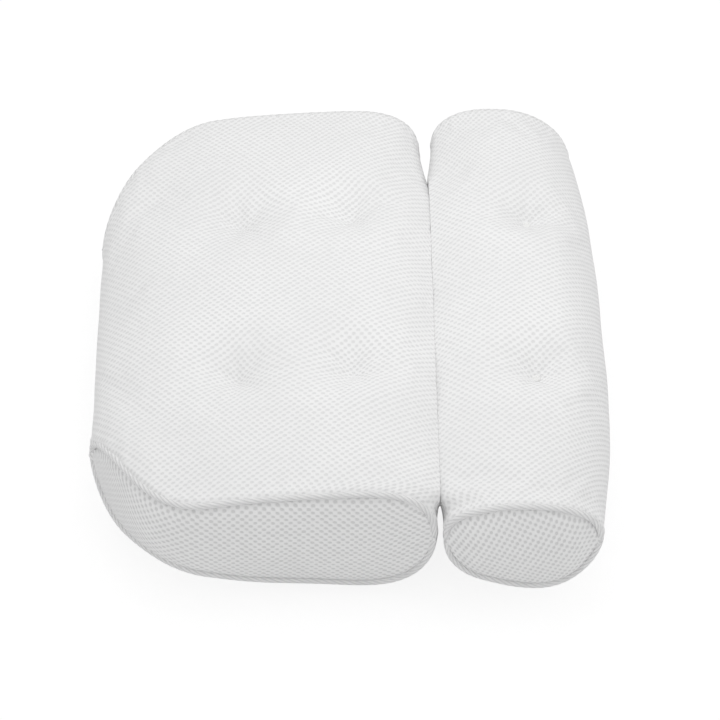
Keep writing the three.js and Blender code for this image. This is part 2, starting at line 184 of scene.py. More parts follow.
def lay_floor():
    """A plain floor."""
    material = bpy.data.materials.new("floor_white")
    material.use_nodes = True
    nodes, links = material.node_tree.nodes, material.node_tree.links
    shader = nodes["Principled BSDF"]
    shader.inputs["Base Color"].default_value = floor_colour
    shader.inputs["Roughness"].default_value = 1.0
    white = nodes.new("ShaderNodeEmission")
    white.inputs["Strength"].default_value = floor_white_level
    share = nodes.new("ShaderNodeMath")
    share.operation = "MULTIPLY"
    share.inputs[1].default_value = floor_white_share
    links.new(seen_directly(nodes, links), share.inputs[0])
    mix = nodes.new("ShaderNodeMixShader")
    links.new(share.outputs[0], mix.inputs["Fac"])
    links.new(shader.outputs["BSDF"], mix.inputs[1])
    links.new(white.outputs["Emission"], mix.inputs[2])
    links.new(mix.outputs["Shader"], nodes["Material Output"].inputs["Surface"])
    bpy.ops.mesh.primitive_plane_add(size=floor_size, location=(0, 0, 0))
    floor = bpy.context.object
    floor.name = "floor"
    floor.data.materials.append(material)


lay_floor()
print("floor:", floor_size, "m wide")

# %% [markdown]
# The pillow's sizes
#
# A cushion sewn from a sleeve and two end panels is described by three things: its section, the line
# of its end seam seen from above, and how far it swells between the seams. The section and the seam
# line are the sewing pattern. The swell is what the filling does. The sizes are the ones that the
# solid model was made to, and the model's own hinge gives the places.

# %% Write down the sizes
fabric_wall = 4 * MM
stand_height = 14 * MM
panel_length, panel_width, panel_thickness = 370 * MM, 210 * MM, 74 * MM
roll_length, roll_width, roll_thickness = 384 * MM, 91.5 * MM, 67 * MM
roll_raise = 1 * MM
hinge_gap = 10 * MM
hinge_offset = 0.25 * MM

hinge = next(joint for joint in frame["joints"] if joint["name"] == "roll_fold")
hinge_place = Vector(hinge["pos_m"])
touch_plane = hinge_place.x + hinge_offset
panel_left = hinge_place.x - hinge_offset - hinge_gap / 2 - panel_width
roll_left = panel_left + panel_width + hinge_gap
print("panel's left seam at", round(panel_left, 4), "and roll's at", round(roll_left, 4))

# %% [markdown]
# The sections
#
# The back cushion is thin at its outer edge and thick at the hinge. A few heights along its width,
# joined by a smooth curve, describe that well. The head roll is close to an ellipse, but a little
# squarer, which is what a superellipse gives with a power just over two.

# %% Describe the two sections
panel_knot_shares = (0, 0.2, 0.45, 0.75, 1)
panel_middle_shares = (0.34, 0.435, 0.473, 0.473, 0.473)
panel_half_shares = (0.42, 0.355, 0.432, 0.5, 0.51)
panel_edge_round_share = 0.12
panel_hinge_round_share = 0.22
panel_hinge_round_power = 2.6
roll_section_power = 2.25


def smooth_step(t):
    """Zero up to t = 0, one from t = 1, and a soft rise between them."""
    u = np.clip(t, 0, 1)
    return u * u * (3 - 2 * u)


def knot_curve(knots, values, at):
    """Smooth curve through listed knots, with slopes taken from the neighbouring knots."""
    knots, values = np.asarray(knots, float), np.asarray(values, float)
    low = np.maximum(np.arange(len(knots)) - 1, 0)
    high = np.minimum(np.arange(len(knots)) + 1, len(knots) - 1)
    slopes = (values[high] - values[low]) / (knots[high] - knots[low])
    left = np.clip(np.searchsorted(knots, at, side="right") - 1, 0, len(knots) - 2)
    span = knots[left + 1] - knots[left]
    t = np.clip((at - knots[left]) / span, 0, 1)
    fall, rise, bend = (1 - t) ** 2, t * t, span * t * (1 - t)
    ends = values[left] * (1 + 2 * t) * fall + values[left + 1] * rise * (3 - 2 * t)
    return ends + bend * (slopes[left] * (1 - t) - slopes[left + 1] * t)


def panel_section(share):
    """Middle height and half height of the back cushion at a share of its width."""
    middle = stand_height + panel_thickness * knot_curve(panel_knot_shares, panel_middle_shares, share)
    half = panel_thickness * knot_curve(panel_knot_shares, panel_half_shares, share)
    edge = 1 - np.clip(1 - share / panel_edge_round_share, 0, 1) ** 2
    turn = np.clip((share - 1 + panel_hinge_round_share) / panel_hinge_round_share, 0, 1)
    hinge_edge = (1 - turn**panel_hinge_round_power) ** (1 / panel_hinge_round_power)
    return middle, half * np.sqrt(edge) * hinge_edge


def roll_section(share):
    """Middle height and half height of the head roll at a share of its width."""
    across = np.clip(np.abs(1 - 2 * share), 0, 1)
    half = roll_thickness / 2 * (1 - across**roll_section_power) ** (1 / roll_section_power)
    return np.full_like(half, stand_height + roll_raise + roll_thickness / 2), half


print("half heights at mid width:", panel_section(np.array(0.5))[1], roll_section(np.array(0.5))[1])

# %% [markdown]
# The cushions and their seam lines
#
# Seen from above, the panel's end seams curve in at its outer corners, and the roll's ends are
# nearly straight. What differs between the two cushions is kept with each of them, and later steps
# add to it. So every step is written once and works for both.

# %% Describe the two cushions
corner_across, corner_along, corner_power = 76 * MM, 87 * MM, 2.15
roll_end_rounding = 5 * MM
under_reach, under_length = 0.06, 1 * MM
tuft_spacing = 148 * MM


def panel_recess(share):
    """How far the panel's end seam is drawn in along Y, which rounds its outer corners."""
    return corner_along * np.clip(1 - share * panel_width / corner_across, 0, 1) ** corner_power


def roll_recess(share):
    """How far the roll's end seam is drawn in along Y at a share of its width."""
    return roll_end_rounding * np.abs(1 - 2 * share) ** 3


panel = SimpleNamespace(
    name="panel", body="back_cushion", facing=1, left=panel_left, width=panel_width,
    half_length=panel_length / 2, section=panel_section, recess=panel_recess,
    tuft_distances=(92.5 * MM, 163 * MM),
    crown=9 * MM, crown_power=2.4, crown_rise_share=0.26, belly=5 * MM, left_bulge=0, right_bulge=4 * MM,
)
roll = SimpleNamespace(
    name="roll", body="head_roll", facing=-1, left=roll_left, width=roll_width,
    half_length=roll_length / 2, section=roll_section, recess=roll_recess,
    tuft_distances=(57.5 * MM,),
    crown=12 * MM, crown_power=2.2, crown_rise_share=0.5, belly=5 * MM, left_bulge=3.5 * MM,
    right_bulge=12.8 * MM,
)


def width_share(angle):
    """How far across its cushion a point lies, from 0 at the left edge to 1 at the right."""
    return (1 - np.cos(angle)) / 2


def seam_reach(cushion, angle):
    """Distance along Y from the middle of a cushion to its seam, a little longer on the underside."""
    below = np.clip(-np.sin(angle), 0, 1)
    recess = cushion.recess(width_share(angle)) * (1 - under_reach * below)
    return cushion.half_length + under_length * below - recess


def tufts(cushion):
    """Places of a cushion's tufts, first near then far."""
    across, along = cushion.tuft_distances, (-tuft_spacing / 2, tuft_spacing / 2)
    return [(cushion.left + distance, place) for distance in across for place in along]


print("tufts:", [tuple(round(v, 4) for v in t) for t in tufts(panel) + tufts(roll)])

# %% [markdown]
# The swell between the seams
#
# A point of the sleeve is found from an angle round the section, starting at the left edge and going
# over the top, and a run along Y, from -1 at the near seam to 1 at the far one. Between the seams the
# filling swells the face into a crown and the belly sags. A mesh could be sculpted to this shape, but
# a formula gives any point on it, so every later piece can be sewn exactly where it belongs.

# %% Swell the cushions
crown_fall_share = 0.25
side_bulge_share = 0.5


def swollen_point(cushion, angle, run):
    """X, Y and Z of the evenly filled sleeve, and the height of the section's middle."""
    share = width_share(angle)
    middle, half = cushion.section(share)
    under = np.sin(angle) < 0
    swell = 1 - np.abs(run) ** cushion.crown_power
    fade = smooth_step(share / cushion.crown_rise_share) * smooth_step((1 - share) / crown_fall_share)
    lift = np.where(under, -cushion.belly, cushion.crown) * fade * swell
    right = cushion.right_bulge * smooth_step((share + side_bulge_share - 1) / side_bulge_share) * swell
    left = cushion.left_bulge * smooth_step((side_bulge_share - share) / side_bulge_share) * swell
    x = cushion.left + cushion.width * share + right - left
    return x, run * seam_reach(cushion, angle), middle + np.where(under, -half, half) + lift, middle


print("panel's crown at", round(float(swollen_point(panel, np.pi / 2, np.array(0.0))[2]), 4), "m")

# %% [markdown]
# Uneven ends
#
# Loose fibre never fills two ends alike. Just inside the panel's rounded corners it crowds the seam
# and lifts the face. Beside the near seams the belly hangs lower in some places than in others, and
# beside the far ones the face stands a little higher or lower. A few listed heights along the width,
# joined by a smooth curve, follow the outline in the photograph.

# %% Fill the ends unevenly
shoulder_rise, shoulder_reach, shoulder_fall = 5 * MM, 20 * MM, 45 * MM
shoulder_corner = 25 * MM
drop_shares = (0, 0.12, 0.3, 0.5, 0.7, 1)
panel.near_drops = np.array([-0.2, -0.9, 0.1, 2.8, 1.6, 4.4]) * MM
roll.near_drops = np.array([0.5, -1.5, -2.4, 0.5, 3.2, 5]) * MM
far_drop = 1.5 * MM
panel.far_rise, roll.far_rise = (2.6 * MM, -0.6 * MM), (1 * MM, -1.4 * MM)


def shoulder(cushion, angle, run):
    """Extra height of the face just inside the rounded corners, where the filling crowds the seam."""
    inward = (1 - np.abs(run)) * seam_reach(cushion, angle)
    rise = smooth_step(inward / shoulder_reach)
    rise = rise * (1 - smooth_step((inward - shoulder_reach) / shoulder_fall))
    corner = smooth_step(cushion.recess(width_share(angle)) / shoulder_corner)
    return shoulder_rise * rise * corner * np.sin(angle).clip(0, 1)


def uneven_ends(cushion, angle, run):
    """What the uneven filling adds to the height beside the two seams."""
    share = width_share(angle)
    face, belly = np.sin(angle).clip(0, 1), np.clip(-np.sin(angle), 0, 1)
    drop = np.where(run < 0, knot_curve(drop_shares, cushion.near_drops, share), far_drop)
    rise = cushion.far_rise[0] * (1 - share) + cushion.far_rise[1] * share
    return rise * face * run.clip(0, 1) ** 4 - drop * belly * run**4 + shoulder(cushion, angle, run)


print("near belly drops in mm:", panel.near_drops / MM, roll.near_drops / MM)

# %% [markdown]
# Cushions that lean
#
# A soft cushion that stands on a narrow base leans a little, one way at its near end and another at
# its far end. Its ends are sheared too, and the roll is drawn in at its middle like a waist. The lean
# grows with the height above the floor, so the cups below stay upright. All of it is a few
# millimetres, but a straight edge is what gives a computer model away.

# %% Lean the cushions
lean_start, lean_ease = 18 * MM, 36 * MM
panel.left_lean, panel.right_lean = (-0.8 * MM, 0.5 * MM), (3.3 * MM, -0.3 * MM)
roll.left_lean, roll.right_lean = (-1.8 * MM, -0.2 * MM), (2.6 * MM, -1.3 * MM)
panel.near_shear, panel.far_shear = 0.04, 0
roll.near_shear, roll.far_shear = 0.05, 0.2
panel.near_foot, roll.near_foot = 1.5 * MM, -0.5 * MM
panel.waist, roll.waist = 0, 1 * MM
waist_place, waist_spread = 0.08, 1.35


def leaning(cushion, angle, run, z, middle):
    """How far the lean, the shear and the waist move a point along X."""
    share = width_share(angle)
    near, far = (1 - run) / 2, (1 + run) / 2
    upright = smooth_step((z - lean_start) / lean_ease)
    left_side, right_side = smooth_step(1 - 2 * share), smooth_step(2 * share - 1)
    shear = cushion.far_shear * (z - middle) * far**3
    shear = shear + cushion.near_shear * np.clip(middle - z, 0, None) * near**3
    waist = cushion.waist * np.cos(2 * np.pi * (run - waist_place) / waist_spread) * (1 - run**4)
    left = (cushion.left_lean[0] * near + cushion.left_lean[1] * far) * left_side
    right = (cushion.right_lean[0] * near + cushion.right_lean[1] * far - waist) * right_side
    foot = cushion.near_foot * right_side * (1 - upright) * near**6
    return (left + right) * upright + foot - shear


print("lean starts", round(lean_start, 3), "m above the floor")

# %% [markdown]
# The crease between the cushions
#
# Above the hinge strip the two facing sides swell until they press together, which leaves one fine
# crease seen from above. Towards both ends they part along slanted lines, and the floor shows between
# them. Pressed fibre can't sink, so the roll's flank beside the crease stands as high as the panel's.
# Low down both sides stay back a little, as room for the fold. Letting two meshes run into each other
# would be easier, but then the crease turns into a hard black line. So each side is stopped softly, a
# hair short of one shared plane.

# %% Press the facing sides together
touch_gap, touch_softness = 0.01 * MM, 0.02 * MM
side_fill, fill_start, fill_ease = 8 * MM, 30 * MM, 12 * MM
near_parting, near_parting_slope, near_fade = -61 * MM, 0.75, 3.2 * MM
near_stop, near_ease = -186 * MM, 13 * MM
far_parting, far_parting_slope, far_fade = 200 * MM, 1.05, 11 * MM
panel.flank_rise, roll.flank_rise = 0, 7.3 * MM
flank_reach, flank_start = 0.15, 0.5
panel.near_lip, roll.near_lip = 0, 1.6 * MM
lip_start, lip_ease = 48 * MM, 15 * MM
fold_room, room_top, room_ease = 1 * MM, 25 * MM, 11 * MM


def facing_share(cushion, angle):
    """How far across its cushion a point lies, from the outer side to the one that faces the other."""
    return width_share(angle) if cushion.facing > 0 else 1 - width_share(angle)


def filled(y, z):
    """How full the facing sides are: one in the middle, fading at both ends along slanted lines."""
    near = (near_parting - z - near_parting_slope * y) / near_fade
    far = (z + far_parting_slope * y - far_parting) / far_fade
    return smooth_step((y - near_stop) / near_ease) / (1 + np.exp(near)) / (1 + np.exp(far))


def facing_flank(cushion, angle, run):
    """Extra height beside the crease, where the other cushion's pressure keeps the filling up."""
    from_side = 1 - facing_share(cushion, angle)
    face = smooth_step(np.sin(angle).clip(0, 1) / flank_start)
    return cushion.flank_rise * np.exp(-((from_side / flank_reach) ** 2)) * face * (1 - run**6)


def facing_swell(cushion, angle, run, y, z):
    """How far the facing side swells along X: the fill, the lip near the end and the fold's room."""
    lip = cushion.near_lip * smooth_step((z - lip_start) / lip_ease) * ((1 - run) / 2) ** 6
    room = fold_room * (1 - smooth_step((z - room_top) / room_ease)) * (1 - run**4)
    fill = side_fill * filled(y, z) * smooth_step((z - fill_start) / fill_ease)
    return (lip - room + fill) * cushion.facing * smooth_step(2 * facing_share(cushion, angle) - 1)


def kept_apart(cushion, x):
    """Softly stops a cushion's facing side just short of the plane where the two cushions meet."""
    room = (touch_plane - x) * cushion.facing
    soft = touch_gap + touch_softness * np.logaddexp(0, (room - touch_gap) / touch_softness)
    return touch_plane - soft * cushion.facing


print("the cushions meet at x =", round(touch_plane, 5))

# %% [markdown]
# The dimples and the cups' seats
#
# A thread from each cup runs up through the cushion and pulls the face down. The fabric round it
# forms a wide, shallow bowl with a sharp point in its middle, so two curves are laid over each other.
# The point is steeper on one side, because the thread pulls at a slant. Below, the cup pushes a flat
# seat into the belly.

# %% Pull in the dimples
tuft_reach, tuft_depth = 36 * MM, 9 * MM
panel.pinch, roll.pinch = 4 * MM, 6.5 * MM
panel.pinch_slant, roll.pinch_slant = -0.3, 0.3
pinch_reach = 8.5 * MM
seat_half, seat_height = 12 * MM, 13 * MM
nearly_zero = 1e-9


def dimpled(cushion, angle, x, y, z):
    """Heights with the bowls and points pulled into the face, and the seats pushed into the belly."""
    under = np.sin(angle) < 0
    for tuft_x, tuft_y in tufts(cushion):
        away = np.hypot(x - tuft_x, y - tuft_y)
        pull = np.clip(1 - away / tuft_reach, 0, 1)
        seat = smooth_step((tuft_reach - away) / (tuft_reach - seat_half * np.sqrt(2)))
        steeper = 1 - cushion.pinch_slant * (x - tuft_x) / np.maximum(away, nearly_zero)
        pinch = cushion.pinch * np.exp(-away * steeper / pinch_reach) * smooth_step(2 * pull)
        z = np.where(under, z + (seat_height - z) * seat, z - tuft_depth * pull**2 * (2 - pull) - pinch)
    return z


print("dimples:", len(tufts(panel)), "in the panel and", len(tufts(roll)), "in the roll")

# %% [markdown]
# The sleeve's surface
#
# The steps above are now put together into one function, which every soft piece is measured from.
# Two more are needed for sewing. One gives the outward direction at a point. The other follows a seam
# and says, at each of its points, which way the sleeve and the end panel run from it.

# %% Put the sleeve's surface together
angle_step, run_step, share_step = 1e-3, 1e-3, 1e-4


def sleeve_point(cushion, angle, run):
    """Points of the sleeve's surface, as an array with x, y and z last."""
    angle, run = np.broadcast_arrays(np.asarray(angle, float), np.asarray(run, float))
    x, y, z, middle = swollen_point(cushion, angle, run)
    z = z + uneven_ends(cushion, angle, run) + facing_flank(cushion, angle, run)
    x = x + leaning(cushion, angle, run, z, middle) + facing_swell(cushion, angle, run, y, z)
    x = kept_apart(cushion, x)
    return np.stack([x, y, dimpled(cushion, angle, x, y, z)], -1)


def unit(vectors):
    """Vectors scaled to a length of one."""
    length = np.linalg.norm(vectors, axis=-1, keepdims=True)
    return vectors / np.maximum(length, 1e-12)


def sleeve_normal(cushion, angle, run):
    """Outward normals of the sleeve, from small steps on its surface."""
    low, high = np.maximum(run - run_step, -1), np.minimum(run + run_step, 1)
    around = sleeve_point(cushion, angle + angle_step, run)
    around = around - sleeve_point(cushion, angle - angle_step, run)
    along = sleeve_point(cushion, angle, high) - sleeve_point(cushion, angle, low)
    return unit(np.cross(around, along))


def seam_frame(cushion, angle, end):
    """The seam at one end: its points, both outward normals, and the ways into sleeve and end panel."""
    run = np.full_like(angle, float(end))
    at = sleeve_point(cushion, angle, run)
    along = sleeve_point(cushion, angle + angle_step, run)
    along = unit(along - sleeve_point(cushion, angle - angle_step, run))
    out_of_sleeve = sleeve_normal(cushion, angle, run)
    share = width_share(angle)
    low, high = np.maximum(share - share_step, 0), np.minimum(share + share_step, 1)
    draw_in = (cushion.recess(high) - cushion.recess(low)) / (cushion.width * (high - low))
    out_of_end = unit(np.stack([draw_in, run, np.zeros_like(draw_in)], -1))
    into_sleeve = unit(np.cross(out_of_sleeve, along) * -end)
    into_end = unit(np.cross(along, out_of_end) * -end)
    outward = unit(out_of_sleeve + out_of_end)
    return SimpleNamespace(at=at, out_of_sleeve=out_of_sleeve, out_of_end=out_of_end,
                           into_sleeve=into_sleeve, into_end=into_end, outward=outward)


low_corner, high_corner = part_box("panel_cover")
print("panel cover box:", [round(v, 4) for v in (*low_corner, *high_corner)])
middle_line = sleeve_point(panel, np.linspace(0, np.pi, 99), 0.0)
print("highest face point:", round(float(middle_line[:, 2].max()), 4))

# %% [markdown]
# From a grid of points to a mesh
#
# Every soft piece here is a grid of points bent into its shape. The same helpers turn a grid into
# faces and give it a flat map in metres, as if the fabric were laid on a table. The knitted pattern
# is drawn in that map, so its holes keep their true size wherever the surface bends.

# %% Make a mesh from a grid
column_spacing = 2.0 * MM


def new_piece(name, mesh, material):
    """A smooth-shaded object from a mesh, placed in the scene."""
    mesh.shade_smooth()
    mesh.materials.append(material)
    piece = bpy.data.objects.new(name, mesh)
    bpy.context.scene.collection.objects.link(piece)
    return piece


def sewn_piece(name, points, faces, material, corner_maps=None):
    """An object from points and faces. corner_maps holds one flat place for each face corner."""
    mesh = bpy.data.meshes.new(name)
    faces = faces.tolist() if isinstance(faces, np.ndarray) else faces
    mesh.from_pydata(np.asarray(points).reshape(-1, 3).tolist(), [], faces)
    if corner_maps is not None:
        layer = mesh.uv_layers.new(name="cloth")
        layer.uv.foreach_set("vector", np.asarray(corner_maps, np.float32).ravel())
    return new_piece(name, mesh, material)


def thicken(piece, thickness, offset=-1):
    """Gives a sheet of fabric its thickness, inward unless an offset says otherwise."""
    wall = piece.modifiers.new("fabric_thickness", "SOLIDIFY")
    wall.thickness = thickness
    wall.offset = offset


def grid_corners(rows, steps):
    """Corner rows and columns of the quads of a grid, with a number of steps from column to column."""
    row, column = np.meshgrid(np.arange(rows - 1), np.arange(steps), indexing="ij")
    row, column = row.ravel(), column.ravel()
    corner_rows = np.stack([row, row, row + 1, row + 1], -1)
    corner_columns = np.stack([column, column + 1, column + 1, column], -1)
    return corner_rows, corner_columns


def arc_lengths(points):
    """Distances along a line of points, starting at zero."""
    steps = np.linalg.norm(np.diff(points, axis=0), axis=-1)
    return np.concatenate([[0], np.cumsum(steps)])


def turned_map(flat, turn):
    """A flat map turned by an angle."""
    x, y = flat[..., 0], flat[..., 1]
    return np.stack([x * np.cos(turn) - y * np.sin(turn), x * np.sin(turn) + y * np.cos(turn)], -1)


def even_angles(cushion, spacing):
    """Angles round the section at even steps along the face, and the same shares back below."""
    dense = np.linspace(0, np.pi, 2001)
    length = arc_lengths(sleeve_point(cushion, dense, 0.0))
    count = int(round(length[-1] / spacing))
    top = np.interp(np.linspace(0, length[-1], count + 1), length, dense)
    top[0], top[-1] = 0, np.pi
    return np.concatenate([top, 2 * np.pi - top[-2:0:-1]])


print("columns round the panel:", len(even_angles(panel, column_spacing)))

# %% [markdown]
# A finish from nodes
#
# A material is built from nodes: noises, sums, changes of range, a mix of two colours and a bump. The
# same few steps come back in every fabric and plastic of the pillow, so they are wrapped once. Plain
# numbers go straight to the shader, and only what varies over the surface is linked to it.

# %% Wrap the nodes of a finish
noise_span = (0.3, 0.7)
mix_sockets = (0, 6, 7)
range_sockets = ("Value", "From Min", "From Max", "To Min", "To Max")


class Finish:
    """A new material, and short ways to add nodes to it. Its noises lie on the given coordinates."""

    def __init__(self, name, place):
        self.material = bpy.data.materials.new(name)
        self.material.use_nodes = True
        self.nodes = self.material.node_tree.nodes
        self.links = self.material.node_tree.links
        if place == "cloth":
            flat = self.nodes.new("ShaderNodeUVMap")
            flat.uv_map = "cloth"
            self.place = flat.outputs["UV"]
        else:
            self.place = self.nodes.new("ShaderNodeTexCoord").outputs[place]

    def feed(self, socket, value):
        """Links a node's output to a socket, or sets the socket to a plain value."""
        if isinstance(value, bpy.types.NodeSocket):
            self.links.new(value, socket)
        else:
            socket.default_value = value

    def math(self, operation, *values):
        """The result of one sum, from outputs or plain numbers."""
        node = self.nodes.new("ShaderNodeMath")
        node.operation = operation
        for socket, value in zip(node.inputs, values):
            self.feed(socket, value)
        return node.outputs[0]

    def flat_place(self):
        """The two coordinates of the flat map."""
        split = self.nodes.new("ShaderNodeSeparateXYZ")
        self.links.new(self.place, split.inputs[0])
        return split.outputs["X"], split.outputs["Y"]

    def noise(self, scale, detail=2):
        """A cloudy value round a half."""
        node = self.nodes.new("ShaderNodeTexNoise")
        self.links.new(self.place, node.inputs["Vector"])
        node.inputs["Scale"].default_value = scale
        node.inputs["Detail"].default_value = detail
        return node.outputs["Fac"]

    def ranged(self, value, span, low, high, smooth=False):
        """A value whose span is stretched to run from low to high."""
        node = self.nodes.new("ShaderNodeMapRange")
        node.interpolation_type = "SMOOTHSTEP" if smooth else "LINEAR"
        for name, number in zip(range_sockets, (value, *span, low, high)):
            self.feed(node.inputs[name], number)
        return node.outputs["Result"]

    def mixed(self, share, first, second):
        """A colour between two others."""
        node = self.nodes.new("ShaderNodeMix")
        node.data_type = "RGBA"
        for number, value in zip(mix_sockets, (share, first, second)):
            self.feed(node.inputs[number], value)
        return node.outputs[2]

    def bump(self, height, distance, strength=1):
        """Relief that bends the light without moving the mesh."""
        node = self.nodes.new("ShaderNodeBump")
        node.inputs["Distance"].default_value = distance
        node.inputs["Strength"].default_value = strength
        self.links.new(height, node.inputs["Height"])
        return node.outputs["Normal"]

    def shaded(self, **values):
        """The material, with values for its shader's sockets, spaces written as underscores."""
        sockets = self.nodes["Principled BSDF"].inputs
        for name, value in values.items():
            self.feed(sockets[name.replace("_", " ")], value)
        return self.material


print("a noise mostly lies between", noise_span)

# %% [markdown]
# Spacer mesh as a material
#
# Spacer mesh is knitted: threads run in zigzags and leave small oval holes, staggered from row to
# row. Two sets of slanting waves that cross have their common peaks exactly on such a staggered
# pattern. Where their sum is high there is a hole, which is lower than the threads and has a darker
# colour, painted shade for the dim inside of the fabric. A third wave at twice the rate takes a
# little off each hole's middle and widens it. The stretch of real cloth makes one slant stronger here
# and the other there, so a slow noise shares out the two. On the panel's ends the rising slant is
# much the stronger at the outer corner, where the cloth is stretched most. A fine noise stands for
# the fibres, and a broad faint one for the uneven white.

# %% Knit the mesh material
hole_across, hole_along = 5.15 * MM, 4.75 * MM
hole_span = (-0.3, 0.95)
hole_widening = 0.16
hole_unevenness = 0.2
drift_scale, uneven_scale, fibre_scale, broad_scale = 30, 170, 2200, 14
broad_shade = 0.955
fuzz_height = 0.25
corner_span = (0.02, 0.1)


def knit_material(name, thread, hole, rising_shares, corner_rising=0, sink=0.35 * MM):
    """White knitted spacer mesh with a staggered pattern of oval holes, which hold painted shade. At
    the start of its flat map the rising slant can be made the stronger one."""
    knit = Finish(name, "cloth")
    across_place, along_place = knit.flat_place()
    across = knit.math("MULTIPLY", across_place, 2 * np.pi / hole_across)
    along = knit.math("MULTIPLY", along_place, 2 * np.pi / hole_along)
    rising = knit.math("COSINE", knit.math("ADD", across, along))
    falling = knit.math("COSINE", knit.math("SUBTRACT", across, along))
    share = knit.ranged(knit.noise(drift_scale), noise_span, *rising_shares)
    if corner_rising:
        corner = knit.ranged(across_place, corner_span, corner_rising, 0, smooth=True)
        share = knit.math("ADD", share, corner)
    rising = knit.math("MULTIPLY", rising, share)
    falling = knit.math("MULTIPLY", falling, knit.math("SUBTRACT", 1.0, share))
    double = knit.math("COSINE", knit.math("MULTIPLY", along, 2.0))
    double = knit.math("MULTIPLY", double, hole_widening)
    waves = knit.math("ADD", knit.math("ADD", rising, falling), double)
    change = knit.ranged(knit.noise(uneven_scale), noise_span, -hole_unevenness, hole_unevenness)
    holes = knit.ranged(knit.math("ADD", waves, change), hole_span, 0, 1, smooth=True)
    darker = tuple(v * broad_shade for v in thread[:3]) + (1,)
    threads = knit.mixed(knit.ranged(knit.noise(broad_scale), noise_span, 0, 1), darker, thread)
    fibre = knit.noise(fibre_scale, detail=3)
    fuzz = knit.math("MULTIPLY", fibre, fuzz_height)
    height = knit.math("ADD", knit.math("SUBTRACT", 1.0, holes), fuzz)
    # The darker hole colour mixed into the base colour is painted shade for the dim inside of the fabric.
    return knit.shaded(
        Base_Color=knit.mixed(holes, threads, hole), Roughness=knit.ranged(fibre, noise_span, 0.78, 0.95),
        Normal=knit.bump(height, sink, 0.8), Sheen_Weight=0.15, Sheen_Roughness=0.5,
        Specular_IOR_Level=0.25,
    )


# The hole colours are painted shade, and the end panels' holes are painted darker still.
end_white, end_hole = (0.94, 0.94, 0.94, 1), (0.73, 0.73, 0.73, 1)
end_rising, end_sink = (0.44, 0.66), 0.45 * MM
sleeve_knit = knit_material("sleeve_knit", (0.93, 0.93, 0.93, 1), (0.8, 0.8, 0.8, 1), (0.3, 0.54))
panel_end_knit = knit_material("panel_end_knit", end_white, end_hole, end_rising, 0.36, end_sink)
roll_end_knit = knit_material("roll_end_knit", end_white, end_hole, end_rising, sink=end_sink)
print("knit pitch in mm:", hole_across / MM, "by", hole_along / MM / 2)

# %% [markdown]
# Cloth that settles
#
# Real fabric between its stitches finds its own shape: it billows where nothing holds it and pulls
# straight towards whatever does. A coarse copy of each sleeve is simulated as cloth, held along both
# seams, at the tufts and on the cups' seats, with a little air pressure inside in place of the
# filling and no gravity. What the simulation adds is measured as a movement of each grid point, and
# that is laid over the fine sleeve later.

# %% Choose what holds the cloth
settle_spacing = 7 * MM
hold_at_tuft, hold_at_seat = 5 * MM, 18 * MM


def settle_grid(cushion):
    """Angles and runs of the coarse grid."""
    runs = np.linspace(-1, 1, int(round(2 * cushion.half_length / settle_spacing)) + 1)
    return even_angles(cushion, settle_spacing), runs


def on_face(cushion, z):
    """Which heights belong to the face rather than the belly."""
    return z > cushion.section(np.array([0.5]))[0][0]


def held_points(cushion, points):
    """Which coarse points the seams, the tufts and the cups hold still."""
    held = np.zeros(points.shape[:2], bool)
    held[0], held[-1] = True, True
    for tuft_x, tuft_y in tufts(cushion):
        away = np.hypot(points[..., 0] - tuft_x, points[..., 1] - tuft_y)
        held |= np.where(on_face(cushion, points[..., 2]), away < hold_at_tuft, away < hold_at_seat)
    return held


print("coarse columns and rows of the panel:", [len(line) for line in settle_grid(panel)])

# %% [markdown]
# The simulation
#
# Pressure blows the coarse sleeve up like a balloon, and its slack lets it billow between the places
# that are held. A free balloon would grow too far, so the movement is softly limited. It also fades
# out where the fabric stands upright, because the outline there has been measured.

# %% Settle a coarse copy of the sleeve
settle_frames = 20
settle_pressure, settle_slack = 5.0, 0.004
settle_limit = 2.0 * MM


def simulated(points, faces, held):
    """The points after a short cloth simulation under pressure."""
    mesh = bpy.data.meshes.new("settling")
    mesh.from_pydata(points.reshape(-1, 3).tolist(), [], faces.tolist())
    sleeve = bpy.data.objects.new("settling", mesh)
    bpy.context.scene.collection.objects.link(sleeve)
    group = sleeve.vertex_groups.new(name="held")
    group.add(np.flatnonzero(held.ravel()).tolist(), 1.0, "REPLACE")
    cloth = sleeve.modifiers.new("cloth", "CLOTH")
    cloth.settings.vertex_group_mass = "held"
    cloth.settings.quality = 6
    cloth.settings.mass = 0.3
    cloth.settings.tension_stiffness = 40
    cloth.settings.compression_stiffness = 40
    cloth.settings.shear_stiffness = 20
    cloth.settings.bending_stiffness = 2
    cloth.settings.shrink_min = -settle_slack
    cloth.settings.use_pressure = True
    cloth.settings.uniform_pressure_force = settle_pressure
    cloth.settings.effector_weights.gravity = 0
    cloth.collision_settings.use_collision = False
    cloth.point_cache.frame_start = 1
    cloth.point_cache.frame_end = settle_frames
    for step in range(1, settle_frames + 1):
        bpy.context.scene.frame_set(step)
    settled = sleeve.evaluated_get(bpy.context.evaluated_depsgraph_get()).to_mesh()
    after = np.empty(len(settled.vertices) * 3)
    settled.vertices.foreach_get("co", after)
    bpy.data.objects.remove(sleeve)
    bpy.context.scene.frame_set(1)
    return after.reshape(points.shape)


